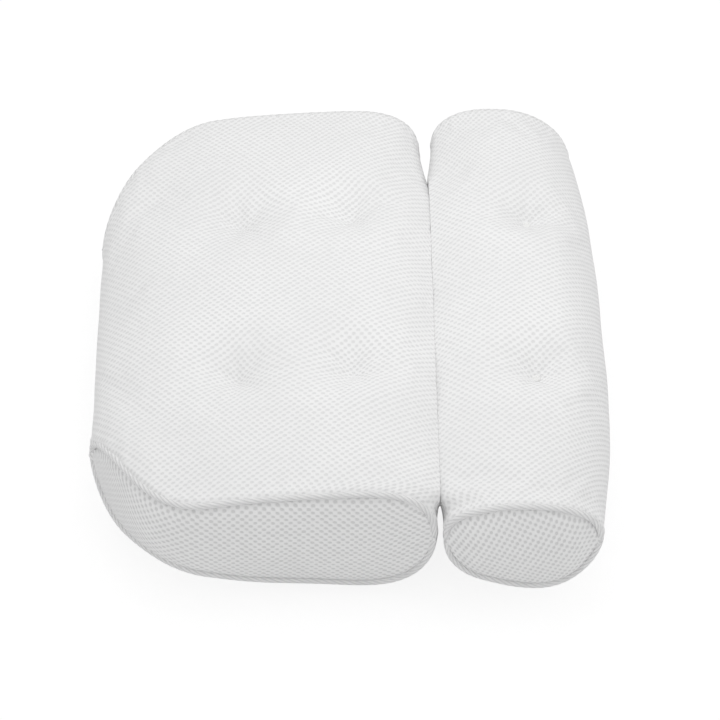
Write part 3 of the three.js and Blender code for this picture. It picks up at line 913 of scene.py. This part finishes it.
def settle(cushion):
    """Movement of each coarse point, softly limited and faded out where the fabric stands upright."""
    angles, runs = settle_grid(cushion)
    points = sleeve_point(cushion, angles[None, :], runs[:, None])
    count = len(angles)
    corner_rows, corner_columns = grid_corners(len(runs), count)
    faces = corner_rows * count + corner_columns % count
    move = simulated(points, faces, held_points(cushion, points)) - points
    length = np.linalg.norm(move, axis=-1, keepdims=True)
    normals = sleeve_normal(cushion, angles[None, :], runs[:, None])
    outward = (move * normals).sum(-1)
    print(cushion.name, "cloth moved at most", round(float(length.max()) / MM, 2), "mm,",
          "outward by", round(float(outward.mean()) / MM, 2), "mm on average")
    limited = np.tanh(length / settle_limit) * settle_limit / np.maximum(length, nearly_zero)
    return move * limited * smooth_step(np.abs(normals[..., 2:]))


movements = {cushion.name: settle(cushion) for cushion in (panel, roll)}

# %% [markdown]
# From the coarse cloth to the fine one
#
# The simulated grid has a point every 7 mm and the sleeve one every 2 mm. Reading the nearest coarse
# point would show as facets, and straight lines between the points as creases. A cubic curve through
# four neighbours each way gives a smooth sheet.

# %% Spread the movement
def cubic_weights(t):
    """Weights of four neighbours for a smooth curve between the middle two."""
    return np.stack([
        -0.5 * t + t**2 - 0.5 * t**3,
        1 - 2.5 * t**2 + 1.5 * t**3,
        0.5 * t + 2 * t**2 - 1.5 * t**3,
        -0.5 * t**2 + 0.5 * t**3,
    ], -1)


def spread_movement(cushion, angle, run):
    """The coarse movement at finer angles and runs."""
    move = movements[cushion.name]
    angles, runs = settle_grid(cushion)
    closed = np.append(angles, 2 * np.pi)
    column = np.interp(angle % (2 * np.pi), closed, np.arange(len(closed)))
    column = np.clip(column, 0, len(angles) - nearly_zero)
    row = np.clip(np.interp(run, runs, np.arange(len(runs))), 0, len(runs) - 1 - nearly_zero)
    column_start, row_start = np.floor(column).astype(int), np.floor(row).astype(int)
    column_weights, row_weights = cubic_weights(column - column_start), cubic_weights(row - row_start)
    total = 0
    for i in range(4):
        rows = np.clip(row_start + i - 1, 0, len(runs) - 1)
        for j in range(4):
            columns = (column_start + j - 1) % len(angles)
            weight = row_weights[..., i] * column_weights[..., j]
            total = total + move[rows, columns] * weight[..., None]
    return total


print("coarse grid of the panel:", movements["panel"].shape[:2])

# %% [markdown]
# The line of the crease
#
# A second, small press holds the facing sides together after the cloth's own movement has been added.
# The crease lies where a cushion's face first comes close to the shared plane. It wanders from row to
# row and ends where the cushions part, so its place and its weight are smoothed along the rows: a
# jump there would show as a wrinkle.

# %% Find the crease
press, press_start, press_ease = 3 * MM, 32 * MM, 10 * MM
crease_margin, crease_height = 0.12 * MM, 62 * MM
place_evening, weight_evening = 2, 6


def pressed_out(cushion, angle, points):
    """How far the filling presses the facing side towards the other cushion, above the hinge."""
    y, z = points[..., 1], points[..., 2]
    facing_side = smooth_step(2 * facing_share(cushion, angle) - 1)
    above_hinge = smooth_step((z - press_start) / press_ease)
    return press * cushion.facing * facing_side * filled(y, z) * above_hinge


def evened(values, wide):
    """Values smoothed along a row of neighbours."""
    steps = np.arange(-3 * wide, 3 * wide + 1)
    kernel = np.exp(-0.5 * (steps / wide) ** 2)
    padded = np.pad(values, 3 * wide, mode="edge")
    return np.convolve(padded, kernel / kernel.sum(), mode="valid")


def crease_line(cushion, dense, runs):
    """Where the crease lies round each row, how strongly it counts there, and all the arc lengths."""
    lengths, creases, touching = [], [], []
    first = 0 if cushion.facing > 0 else -1
    for run in runs:
        points = sleeve_point(cushion, dense, run)
        points[:, 0] = kept_apart(cushion, points[:, 0] + pressed_out(cushion, dense, points))
        towards = points[:, 0] * cushion.facing
        meeting = np.flatnonzero(towards > touch_plane * cushion.facing - crease_margin)
        lengths.append(arc_lengths(points))
        height = points[meeting[first], 2] if len(meeting) else 0
        touching.append(height > crease_height)
        creases.append(lengths[-1][meeting[first]] if touching[-1] else 0.0)
    touching = np.array(touching)
    rows = np.arange(len(runs))
    creases = np.interp(rows, rows[touching], np.array(creases)[touching])
    return evened(creases, place_evening), evened(touching.astype(float), weight_evening), lengths


print("the facing sides are pressed by another", press / MM, "mm")

# %% [markdown]
# The rows and columns of a sleeve
#
# The sleeve's grid is finer beside the seams, because that is where sewing shows. It is also finer in
# the crease between the cushions, where the fabric turns sharply. One fine grid everywhere would be
# simpler, but many times as heavy.

# %% Lay out the sleeve's grid
row_spacing = 2.0 * MM
seam_zone = 16 * MM
seam_rows = np.array([0, 0.6, 1.2, 1.9, 2.7, 3.6, 4.6, 5.8, 7.2, 8.8, 10.6, 12.6, 14.6, 16]) * MM
crease_reach, crease_crowding = 1 * MM, 16
full_turn = np.linspace(0, 2 * np.pi, 1441)


def crowded_angles(cushion, runs):
    """Angles round each row, at even steps along the fabric and crowded in the crease."""
    dense = np.linspace(0, np.pi, 1601)
    creases, strengths, lengths = crease_line(cushion, dense, runs)
    tops = []
    for crease, strength, length in zip(creases, strengths, lengths):
        middles = (length[1:] + length[:-1]) / 2
        weights = 1 + crease_crowding * strength * np.exp(-(((middles - crease) / crease_reach) ** 2))
        tops.append(np.append(0, np.cumsum(np.diff(length) * weights)))
    count = int(round(tops[len(tops) // 2][-1] / column_spacing))
    tops = [np.interp(np.linspace(0, top[-1], count + 1), top, dense) for top in tops]
    return np.array([np.concatenate([top, 2 * np.pi - top[-2::-1]]) for top in tops])


def sleeve_grid(cushion):
    """Angle, run and distance from the seam for each point, from the near seam to the far one."""
    inner = np.arange(seam_zone, cushion.half_length, row_spacing)
    inner = np.linspace(seam_zone, cushion.half_length, len(inner) + 1)
    rows = np.concatenate([seam_rows[:-1], inner])
    even_run = 1 - rows / cushion.half_length
    angle = crowded_angles(cushion, np.concatenate([-even_run, even_run[-2::-1]]))
    side = np.concatenate([-np.ones(len(rows)), np.ones(len(rows) - 1)])[:, None]
    rows = np.concatenate([rows, rows[-2::-1]])[:, None]
    slant = np.interp(angle, full_turn, np.abs(seam_frame(cushion, full_turn, -1).into_sleeve[:, 1]))
    half_run = seam_reach(cushion, angle)
    inward = np.clip(rows - seam_zone, 0, None) / (cushion.half_length - seam_zone)
    from_end = np.minimum(rows, seam_zone) / slant + inward * (half_run - seam_zone / slant)
    return angle, side * (1 - from_end / half_run), from_end * slant


grids = {cushion.name: sleeve_grid(cushion) for cushion in (panel, roll)}
print("rows and columns:", [grid[0].shape for grid in grids.values()])

# %% [markdown]
# Relief beside the seams
#
# Where it is sewn, the fabric is tucked in by the stitches, stands up just inside them in a soft
# ridge, and puckers. A bump map could fake that, but real relief also shows in the outline and
# catches the light from every side. The puckers wander a little, as hand-fed sewing does.

# %% Shape the seams' relief
ridge_place, ridge_width, ridge_height = 4.2 * MM, 2.4 * MM, 0.8 * MM
tuck_width, tuck_depth = 1.5 * MM, 0.9 * MM
pucker_pitch, pucker_reach, pucker_depth = 10.5 * MM, 9 * MM, 0.35 * MM
slow_wander, quick_wander = 23 * MM, 9.7 * MM


def seam_details(arc, from_seam, seed):
    """The ridge, the tuck and the puckers beside a seam."""
    ridge = ridge_height * np.exp(-(((from_seam - ridge_place) / ridge_width) ** 2))
    tuck = np.exp(-((from_seam / tuck_width) ** 2))
    wander = 1.3 * np.sin(arc / slow_wander + seed) + 0.8 * np.sin(arc / quick_wander + 2 * seed)
    pucker = pucker_depth * np.cos(2 * np.pi * arc / pucker_pitch + wander)
    pucker = pucker * np.exp(-from_seam / pucker_reach)
    return ridge - tuck_depth * tuck + pucker * (1 - tuck)


print("a pucker every", pucker_pitch / MM, "mm")

# %% [markdown]
# Lumps, spokes and a drawn-in knit
#
# Broad, shallow lumps come from the loose filling. Round each tuft short creases run outwards like
# spokes, and the knit is drawn in towards the thread, so its holes crowd there. The lumps are waves
# with random directions, but the chance is seeded, so each run gives the same cushion.

# %% Shape the lumps and spokes
lump_height, lump_start, lump_ease = 0.45 * MM, 6 * MM, 34 * MM
lump_waves, lump_lengths = 9, (45, 110)
spoke_count, spoke_depth, spoke_reach = 7, 0.6 * MM, 13 * MM
gather_draw, gather_reach = 3.2 * MM, 16 * MM


def lumps(x, y, seed):
    """Broad, shallow waves in several directions, the same on every run."""
    chance = np.random.default_rng(seed)
    total = np.zeros_like(x)
    for _ in range(lump_waves):
        turn, wave = chance.uniform(0, np.pi), chance.uniform(*lump_lengths) * MM
        start = chance.uniform(0, 2 * np.pi)
        total += np.cos(2 * np.pi * (x * np.cos(turn) + y * np.sin(turn)) / wave + start)
    return total / np.sqrt(lump_waves)


def spokes(cushion, x, y, seed):
    """Short creases that run outwards from each tuft."""
    total = 0
    for number, (tuft_x, tuft_y) in enumerate(tufts(cushion)):
        bearing = np.arctan2(y - tuft_y, x - tuft_x)
        waves = np.cos(spoke_count * bearing + seed + number) + 0.5 * np.cos(3 * bearing + 2 * number)
        reach = (np.hypot(x - tuft_x, y - tuft_y) / spoke_reach) ** 2
        total = total + spoke_depth * waves * reach * np.exp(1 - reach)
    return total


def sleeve_details(cushion, points, arc, from_seam, seed):
    """How far each point of the sleeve stands out from the plain shape."""
    x, y, z = points[..., 0], points[..., 1], points[..., 2]
    lump = lump_height * lumps(x + z, y, seed) * smooth_step((from_seam - lump_start) / lump_ease)
    creases = np.where(on_face(cushion, z), spokes(cushion, x, y, seed), 0)
    return lump + seam_details(arc, from_seam, seed) + creases


def drawn_in_map(cushion, points, flat):
    """The flat map with the knit drawn in towards each tuft."""
    x, y, z = points[..., 0], points[..., 1], points[..., 2]
    for tuft_x, tuft_y in tufts(cushion):
        near = np.exp(0.5 - 0.5 * (np.hypot(x - tuft_x, y - tuft_y) / gather_reach) ** 2)
        draw = gather_draw / gather_reach * near * on_face(cushion, z)
        flat = flat + np.stack([(x - tuft_x) * draw, (y - tuft_y) * draw], -1)
    return flat


print("spokes round each tuft:", spoke_count)

# %% [markdown]
# The sleeves
#
# The sleeve is the big piece of fabric that wraps each cushion. Its plain shape, the cloth's
# movement, the relief and the press are added up on the fine grid. The flat map is turned a little,
# because the fabric was not cut quite straight. A Solidify modifier then gives it its thickness,
# which is quicker than a second grid inside the first.

# %% Sew the sleeves
sleeve_thickness = fabric_wall - 1 * MM
sleeve_seeds = {"panel": 3, "roll": 4}
panel.knit_turn, roll.knit_turn = np.radians(6.5), np.radians(5.5)


def grid_normals(points):
    """Outward normals of a grid whose columns close on themselves."""
    around = np.roll(points, -1, axis=1) - np.roll(points, 1, axis=1)
    return unit(np.cross(around, np.gradient(points, axis=0)))


def sew_sleeve(cushion, seed):
    """The sleeve of one cushion, with ridge, puckers, tufts and the knit's flat map."""
    angle, run, from_seam = grids[cushion.name]
    count = angle.shape[1] - 1
    points = sleeve_point(cushion, angle, run) + spread_movement(cushion, angle, run)
    arcs = np.interp(angle, full_turn, arc_lengths(sleeve_point(cushion, full_turn, 0.0)))
    details = sleeve_details(cushion, points, arcs, from_seam, seed)[:, :-1]
    shaped = points[:, :-1] + grid_normals(points[:, :-1]) * details[..., None]
    shaped[..., 0] = kept_apart(cushion, shaped[..., 0] + pressed_out(cushion, angle, points)[:, :-1])
    flat = drawn_in_map(cushion, points, np.stack([arcs, points[..., 1]], -1))
    corner_rows, corner_columns = grid_corners(len(run), count)
    faces = corner_rows * count + corner_columns % count
    maps = turned_map(flat, cushion.knit_turn)[corner_rows, corner_columns]
    piece = sewn_piece(f"{cushion.name}_sleeve", shaped, faces, sleeve_knit, maps)
    thicken(piece, sleeve_thickness)
    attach(piece, cushion.body)
    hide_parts(f"{cushion.name}_cover")
    print(piece.name, "has", len(faces), "faces")


for cushion in (panel, roll):
    sew_sleeve(cushion, sleeve_seeds[cushion.name])

# %% [markdown]
# The shape of an end panel
#
# Each end is closed by its own piece of mesh, a curved wall that follows the seam line. The filling
# pushes it out in the middle, and at its edge it dives under the seam. On the roll this piece was cut
# with its knit turned, so its holes run another way. The grid of an end panel is laid between the
# sleeve's own seam points above and below, so both pieces follow one seam.

# %% Lay out an end panel
end_rows = 34
end_edge_inset, end_inset_share = 2.2 * MM, 0.42
end_bulge, end_fullness = 7 * MM, 0.85
end_rise_share, end_fall_share = 0.25, 0.2
end_tuck, end_tuck_reach, end_full_height = 2.4 * MM, 3.2 * MM, 16 * MM
end_tip_fill, end_tip_height = 1.6 * MM, 12 * MM
end_lump, end_lump_seed = 0.6 * MM, 11
end_knit_stretch = (0.96, 1.12)
panel.end_turn, roll.end_turn = 0, np.radians(70.5)


def end_grid(cushion, end):
    """Rows of points from the top edge of an end panel to its bottom edge, and its flat map."""
    top = even_angles(cushion, column_spacing)
    top = top[: len(top) // 2 + 1]
    upper = seam_frame(cushion, top, end)
    lower = seam_frame(cushion, (2 * np.pi - top) % (2 * np.pi), end)
    thickness = np.linalg.norm(upper.at - lower.at, axis=-1, keepdims=True)
    inset = np.minimum(end_edge_inset, end_inset_share * thickness)
    high = upper.at + upper.into_end * inset
    low = lower.at + lower.into_end * inset
    down = np.linspace(0, 1, end_rows + 1)[:, None]
    grid = high * (1 - down[..., None]) + low * down[..., None]
    share = width_share(top)
    across = smooth_step(share / end_rise_share) * smooth_step((1 - share) / end_fall_share)
    bulge = end_bulge * across * (4 * down * (1 - down)) ** end_fullness
    height = np.linalg.norm(high - low, axis=-1)
    from_left = arc_lengths(high)
    from_tip = np.minimum(from_left, from_left[-1] - from_left)
    from_edge = np.minimum(np.minimum(down, 1 - down) * height, from_tip)
    room = np.clip(height / end_full_height, 0, 1) ** 2
    tuck = end_tuck * np.exp(-((from_edge / end_tuck_reach) ** 2)) * room
    lump = end_lump * lumps(grid[..., 0], grid[..., 2], end_lump_seed + end)
    lump = lump * np.clip(bulge / end_bulge, 0, 1)
    tip = end_tip_fill * (1 - smooth_step(height / end_tip_height))
    grid = grid + upper.out_of_end * (bulge + lump - tuck + tip)[..., None]
    flat = np.stack([np.broadcast_to(arc_lengths(high[:, :2]), grid.shape[:2]), grid[..., 2]], -1)
    return grid, turned_map(flat * end_knit_stretch, cushion.end_turn)


print("points of the panel's near end:", end_grid(panel, -1)[0].shape[:2])

# %% [markdown]
# The end panels
#
# At both tips an end panel narrows to nothing. The points of its first and last column fall together
# there, so each column becomes a single point, and the faces beside it keep only three corners.

# %% Sew the end panels
end_thickness = fabric_wall - 1.5 * MM
two_ends = ((-1, "near"), (1, "far"))


def merged_faces(index, order):
    """Faces of a grid of point numbers, without corners that fall together, and their grid places."""
    faces, places = [], []
    for row in range(index.shape[0] - 1):
        for column in range(index.shape[1] - 1):
            spots = [(row, column), (row + 1, column), (row + 1, column + 1), (row, column + 1)]
            spots = [spots[i] for i in order]
            kept = [s for i, s in enumerate(spots) if index[s] not in [index[t] for t in spots[:i]]]
            faces.append([int(index[s]) for s in kept])
            places.extend(kept)
    return faces, places


def sew_end(cushion, end, side, material):
    """One end panel, closed to a point at both sides."""
    grid, flat = end_grid(cushion, end)
    index = np.arange(grid.shape[0] * grid.shape[1]).reshape(grid.shape[:2])
    index[:, 0], index[:, -1] = index[0, 0], index[0, -1]
    faces, places = merged_faces(index, (0, 1, 2, 3) if end < 0 else (3, 2, 1, 0))
    used = np.unique(index)
    renumber = {int(old): new for new, old in enumerate(used)}
    faces = [[renumber[i] for i in face] for face in faces]
    maps = [flat[place] for place in places]
    points = grid.reshape(-1, 3)[used]
    piece = sewn_piece(f"{cushion.name}_end_fabric_{side}", points, faces, material, maps)
    thicken(piece, end_thickness)
    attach(piece, cushion.body)
    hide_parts(f"{cushion.name}_end_{side}")
    print(piece.name, "has", len(faces), "faces")


for cushion, material in ((panel, panel_end_knit), (roll, roll_end_knit)):
    for end, side in two_ends:
        sew_end(cushion, end, side, material)

# %% [markdown]
# The thread of the seams
#
# An overlock stitch lays several strands of thread side by side. The flat map of a seam counts its
# stitches, so a cosine of that count gives the groove between two stitches, where the thread gets
# painted shade. A cosine at four times the rate gives the strands within them.

# %% Finish the seam thread
strands_in_stitch, strand_height = 4, 0.15


def stitched_material(name, high, low):
    """Sewing thread laid side by side in slanting stitches, with painted shade in their grooves."""
    thread = Finish(name, "cloth")
    turns = thread.flat_place()[0]
    groove = thread.math("COSINE", thread.math("MULTIPLY", turns, 2 * np.pi))
    strand = thread.math("COSINE", thread.math("MULTIPLY", turns, 2 * np.pi * strands_in_stitch))
    fibre = thread.noise(9, detail=3)
    # Painted shade: the thread is darker in the groove between two stitches, and a fibre noise varies its
    # tone at random.
    shade = thread.ranged(groove, (-0.2, 0.95), 1, 0, smooth=True)
    groove_shade_and_fibre = thread.math("MULTIPLY", shade, thread.ranged(fibre, noise_span, 0.8, 1.0))
    height = thread.math("ADD", shade, thread.math("MULTIPLY", strand, strand_height))
    return thread.shaded(
        Base_Color=thread.mixed(groove_shade_and_fibre, low, high), Roughness=thread.ranged(fibre, noise_span, 0.75, 0.9),
        Normal=thread.bump(thread.math("ADD", height, fibre), 0.4 * MM, 0.7), Sheen_Weight=0.2,
        Specular_IOR_Level=0.25,
    )


# The second colour is the painted shade in the grooves between stitches.
bead_thread = stitched_material("bead_thread", (0.95, 0.95, 0.95, 1), (0.82, 0.82, 0.82, 1))
print("strands in a stitch:", strands_in_stitch)

# %% [markdown]
# The seam beads
#
# Where sleeve and end panel meet, the stitch binds both edges. From outside it shows as a fine cord,
# with strands that run nearly along it. A tube round the seam whose radius rises and falls along a
# helix gives that real relief, which a flat pattern on a smooth tube would not.

# %% Sew the beads
bead_radius, bead_lift, bead_show = 2.1 * MM, 0.35 * MM, 0.5 * MM
bead_step, bead_sides = 0.9 * MM, 30
stitch_pitch, stitch_relief, stitch_slant = 5.3 * MM, 0.08, 6


def sew_bead(cushion, end, side):
    """A fine cord along one seam."""
    dense = np.linspace(0, 2 * np.pi, 4001)
    length = arc_lengths(sleeve_point(cushion, dense, float(end)))
    stitches = round(length[-1] / stitch_pitch)
    count = int(round(length[-1] / bead_step))
    distance = np.linspace(0, length[-1], count, endpoint=False)
    line = seam_frame(cushion, np.interp(distance, length, dense), end)
    both = line.out_of_sleeve + line.out_of_end
    centre = line.at - both * (2 * bead_radius / (both**2).sum(-1, keepdims=True))
    centre = centre + line.outward * (bead_lift + bead_show)
    sideways = unit(line.into_sleeve - line.into_end)
    turn = 2 * np.pi * np.arange(bead_sides) / bead_sides
    turns = stitches * distance[:, None] / length[-1] + stitch_slant * turn[None, :] / (2 * np.pi)
    radius = bead_radius * (1 - stitch_relief * (0.5 + 0.5 * np.cos(2 * np.pi * turns)) ** 2)
    out = radius[..., None] * np.cos(turn)[None, :, None] * line.outward[:, None, :]
    across = radius[..., None] * np.sin(turn)[None, :, None] * sideways[:, None, :]
    points = centre[:, None, :] + out + across
    corner_rows, corner_columns = grid_corners(count + 1, bead_sides)
    faces = corner_rows % count * bead_sides + corner_columns % bead_sides
    round_share = corner_columns / bead_sides
    maps = np.stack([corner_rows * stitches / count + stitch_slant * round_share, round_share], -1)
    faces, maps = (faces, maps) if end > 0 else (faces[:, ::-1], maps[:, ::-1])
    piece = sewn_piece(f"{cushion.name}_seam_{side}", points, faces, bead_thread, maps)
    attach(piece, cushion.body)
    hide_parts(f"{cushion.name}_bead_{side}")
    print(piece.name, "has", stitches, "stitches")


for cushion in (panel, roll):
    for end, side in two_ends:
        sew_bead(cushion, end, side)

# %% [markdown]
# The filling
#
# Loose polyester fibre fills both cushions. It never shows, but the model keeps it, because the
# pillow is an assembly: one lumpy body inside each cover, a little smaller than the sleeve.

# %% Stuff the cushions
filling_gap, filling_lump = 0.8 * MM, 0.6 * MM
filling_depth = fabric_wall + filling_gap + 1 * MM
filling_spacing, filling_rings, filling_end_gap = 6 * MM, 61, 9 * MM
filling_seeds = {"panel": 21, "roll": 22}


def fibre_material():
    """Loose white fibre, cloudy and dull."""
    fluff = Finish("loose_fibre", "Object")
    cloud = fluff.noise(160, detail=8)
    shade = fluff.ranged(cloud, noise_span, 0, 1)
    return fluff.shaded(Base_Color=fluff.mixed(shade, (0.84, 0.84, 0.82, 1), (0.94, 0.94, 0.93, 1)),
                        Normal=fluff.bump(cloud, 1.5 * MM), Roughness=1.0)


loose_fibre = fibre_material()


def stuff(cushion, seed):
    """The filling: rings inside the sleeve, closed by a fan of faces at both ends."""
    angles = even_angles(cushion, filling_spacing)
    count = len(angles)
    reach = 1 - filling_end_gap / cushion.half_length
    runs = np.linspace(-reach, reach, filling_rings)[:, None]
    grid_run, grid_angle = np.broadcast_arrays(runs, angles)
    points = sleeve_point(cushion, grid_angle, grid_run)
    lump = filling_lump * (lumps(points[..., 0] * 2, points[..., 1] * 2, seed) - 1.5)
    points = points - sleeve_normal(cushion, grid_angle, grid_run) * (filling_depth - lump)[..., None]
    corner_rows, corner_columns = grid_corners(filling_rings, count)
    faces = (corner_rows * count + corner_columns % count).tolist()
    near, far = filling_rings * count, filling_rings * count + 1
    last = near - count
    faces += [[near, (i + 1) % count, i] for i in range(count)]
    faces += [[far, last + i, last + (i + 1) % count] for i in range(count)]
    points = np.vstack([points.reshape(-1, 3), points[0].mean(0), points[-1].mean(0)])
    piece = sewn_piece(f"{cushion.name}_stuffing", points, faces, loose_fibre)
    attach(piece, cushion.body)
    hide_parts(f"{cushion.name}_filling")
    print(piece.name, "has", len(faces), "faces")


for cushion in (panel, roll):
    stuff(cushion, filling_seeds[cushion.name])

# %% [markdown]
# The hinge strip
#
# A band of the same white fabric is sewn to both cushions, low in the groove between them. It is the
# hinge: when the roll folds back over the rim of the tub, the band bends.

# %% Sew the hinge strip
strip_length, strip_thickness, strip_sag, strip_tuck = 280 * MM, 2.0 * MM, 1.5 * MM, 1.5 * MM
strip_columns, strip_rows = 17, 141
ripple_height, ripple_length, ripple_wander = 0.4 * MM, 19 * MM, 31 * MM
side_angles = np.linspace(-1.2, 1.2, 401)


def side_at_height(cushion, run, height):
    """X of a cushion's facing side at one height, for each run along Y."""
    angles = side_angles + (np.pi if cushion.facing > 0 else 0)
    found = []
    for r in run:
        points = sleeve_point(cushion, angles, float(r))
        order = np.argsort(points[:, 2])
        found.append(np.interp(height, points[order, 2], points[order, 0]))
    return np.array(found)


def sew_strip():
    """The band in the groove, from one cushion's side to the other's."""
    y = np.linspace(-strip_length / 2, strip_length / 2, strip_rows)
    left = side_at_height(panel, y / panel.half_length, hinge_place.z) - strip_tuck
    right = side_at_height(roll, y / roll.half_length, hinge_place.z) + strip_tuck
    across = np.linspace(0, 1, strip_columns)
    x = left[:, None] * (1 - across) + right[:, None] * across
    sag = strip_sag * 4 * across * (1 - across)
    phase = 2 * np.pi * y / ripple_length + 1.3 * np.sin(y / ripple_wander)
    ripple = ripple_height * np.sin(phase)[:, None] * np.sin(np.pi * across)
    z = np.full_like(x, hinge_place.z) - sag[None, :] + ripple
    grid = np.stack([x, np.broadcast_to(y[:, None], x.shape), z], -1)
    corner_rows, corner_columns = grid_corners(strip_rows, strip_columns - 1)
    faces = corner_rows * strip_columns + corner_columns
    maps = grid[..., :2][corner_rows, corner_columns]
    piece = sewn_piece("hinge_band", grid, faces, sleeve_knit, maps)
    thicken(piece, strip_thickness, offset=0)
    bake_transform(piece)
    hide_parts("hinge_strip")
    span = (right - left) / MM
    print(piece.name, "spans", round(float(span.min()), 1), "to", round(float(span.max()), 1), "mm")


sew_strip()

# %% [markdown]
# The profile of a cup
#
# A suction cup is turned about an upright axis, so half of its outline describes it: down the hollow,
# round the thin lip, up the outside to a neck that passes through the fabric, and over the head that
# holds it there. The solid model's cups have flat facets, and these get the soft edges of a moulded
# part.

# %% Draw the cup's profile
cup_radius, cup_hollow = 26 * MM, 3.6 * MM
cup_shoulder_radius, cup_neck_radius, cup_head_radius = 7.5 * MM, 4 * MM, 8 * MM
shoulder_height = seat_height - 0.3 * MM
head_base = seat_height + fabric_wall + 2.1 * MM
head_top = head_base + 3 * MM
cup_profile = [
    (0, cup_hollow), (8 * MM, 3.3 * MM), (16 * MM, 1.9 * MM), (21 * MM, 0.7 * MM),
    (23.5 * MM, 0.05 * MM), (24.6 * MM, 0), (25.6 * MM, 0.1 * MM), (cup_radius, 0.6 * MM),
    (25.7 * MM, 1.3 * MM), (24 * MM, 1.9 * MM), (20.5 * MM, 3.4 * MM), (17.2 * MM, 5.2 * MM),
    (14 * MM, 7.6 * MM), (11.2 * MM, 9.9 * MM),
    (9.2 * MM, 11.6 * MM), (8.1 * MM, 12.5 * MM), (cup_shoulder_radius, shoulder_height),
    (cup_neck_radius, shoulder_height), (cup_neck_radius, head_base), (7.6 * MM, head_base),
    (cup_head_radius, head_base + 0.4 * MM), (cup_head_radius, head_top - 0.9 * MM),
    (6.9 * MM, head_top - 0.25 * MM), (4.5 * MM, head_top), (0, head_top),
]
print("points of the cup's profile:", len(cup_profile))

# %% [markdown]
# The suction cups
#
# The cups are soft vinyl, clear but slightly cloudy. Half transmission and a low, uneven roughness
# give that. The profile is spun round in bmesh, which welds the turns into one closed body.

# %% Mould the suction cups
cup_sides = 64
weld_distance = 1e-6


def vinyl_material():
    """Soft clear vinyl, slightly cloudy, with faint unevenness from the mould."""
    vinyl = Finish("clear_vinyl", "Object")
    cloud = vinyl.noise(90, detail=3)
    shade = vinyl.ranged(cloud, noise_span, 0, 1)
    return vinyl.shaded(
        Base_Color=vinyl.mixed(shade, (0.8, 0.85, 0.87, 1), (0.9, 0.93, 0.94, 1)),
        Roughness=vinyl.ranged(cloud, noise_span, 0.12, 0.28), Normal=vinyl.bump(cloud, 0.2 * MM, 0.3),
        Transmission_Weight=0.55, IOR=1.45,
    )


clear_vinyl = vinyl_material()


def mould_cup(node, x, y, body):
    """A round cup spun from its profile, in place of the faceted one."""
    mould = bmesh.new()
    spots = [mould.verts.new((radius, 0, height)) for radius, height in cup_profile]
    edges = [mould.edges.new(pair) for pair in zip(spots, spots[1:])]
    bmesh.ops.spin(mould, geom=spots + edges, cent=(0, 0, 0), axis=(0, 0, 1), angle=2 * np.pi,
                   steps=cup_sides)
    bmesh.ops.remove_doubles(mould, verts=mould.verts, dist=weld_distance)
    bmesh.ops.recalc_face_normals(mould, faces=mould.faces)
    bmesh.ops.translate(mould, verts=mould.verts, vec=(x, y, 0))
    mesh = bpy.data.meshes.new(f"moulded_{node}")
    mould.to_mesh(mesh)
    mould.free()
    piece = new_piece(f"moulded_{node}", mesh, clear_vinyl)
    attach(piece, body)
    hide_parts(node)


for cushion in (panel, roll):
    for number, (x, y) in enumerate(tufts(cushion), start=1):
        mould_cup(f"suction_cup_{cushion.name}_{number}", x, y, f"cup_{cushion.name}_{number}")
print("cups moulded:", len(tufts(panel)) + len(tufts(roll)))

# %% [markdown]
# The washers and ties
#
# Under every dimple a plastic washer spreads the pull of a cup's neck, and a tie of twisted thread
# runs up from it to the face. Both are small and hidden, so they stay as the solid model has them and
# only get their own finish.

# %% Finish the washers and ties
def washer_material():
    """Plain white moulded plastic with a faint grain."""
    moulding = Finish("washer_moulding", "Generated")
    grain = moulding.noise(700)
    tone = moulding.ranged(grain, noise_span, 0, 1)
    return moulding.shaded(Base_Color=moulding.mixed(tone, (0.85, 0.85, 0.85, 1), (0.92, 0.92, 0.92, 1)),
                           Roughness=moulding.ranged(grain, noise_span, 0.4, 0.55))


def tie_material():
    """Twisted white sewing thread, a little darker in its grooves."""
    thread = Finish("tie_thread", "Object")
    fibre = thread.noise(1500, detail=4)
    shade = thread.ranged(fibre, (0.35, 0.65), 0, 1)
    return thread.shaded(
        Base_Color=thread.mixed(shade, (0.78, 0.78, 0.77, 1), (0.93, 0.93, 0.92, 1)), Roughness=0.85,
        Normal=thread.bump(fibre, 0.3 * MM, 0.6), Sheen_Weight=0.2, Specular_IOR_Level=0.25,
    )


def finish_node(node, material):
    """Gives a piece of the solid model its finish."""
    slots = frame["nodes"][node].data.materials
    slots.clear()
    slots.append(material)


washer_moulding, tie_thread = washer_material(), tie_material()
for cushion in (panel, roll):
    for number in range(1, len(tufts(cushion)) + 1):
        finish_node(f"cup_washer_{cushion.name}_{number}", washer_moulding)
        finish_node(f"tuft_tie_{cushion.name}_{number}", tie_thread)
print("washers and ties finished:", len(tufts(panel)) + len(tufts(roll)), "of each")
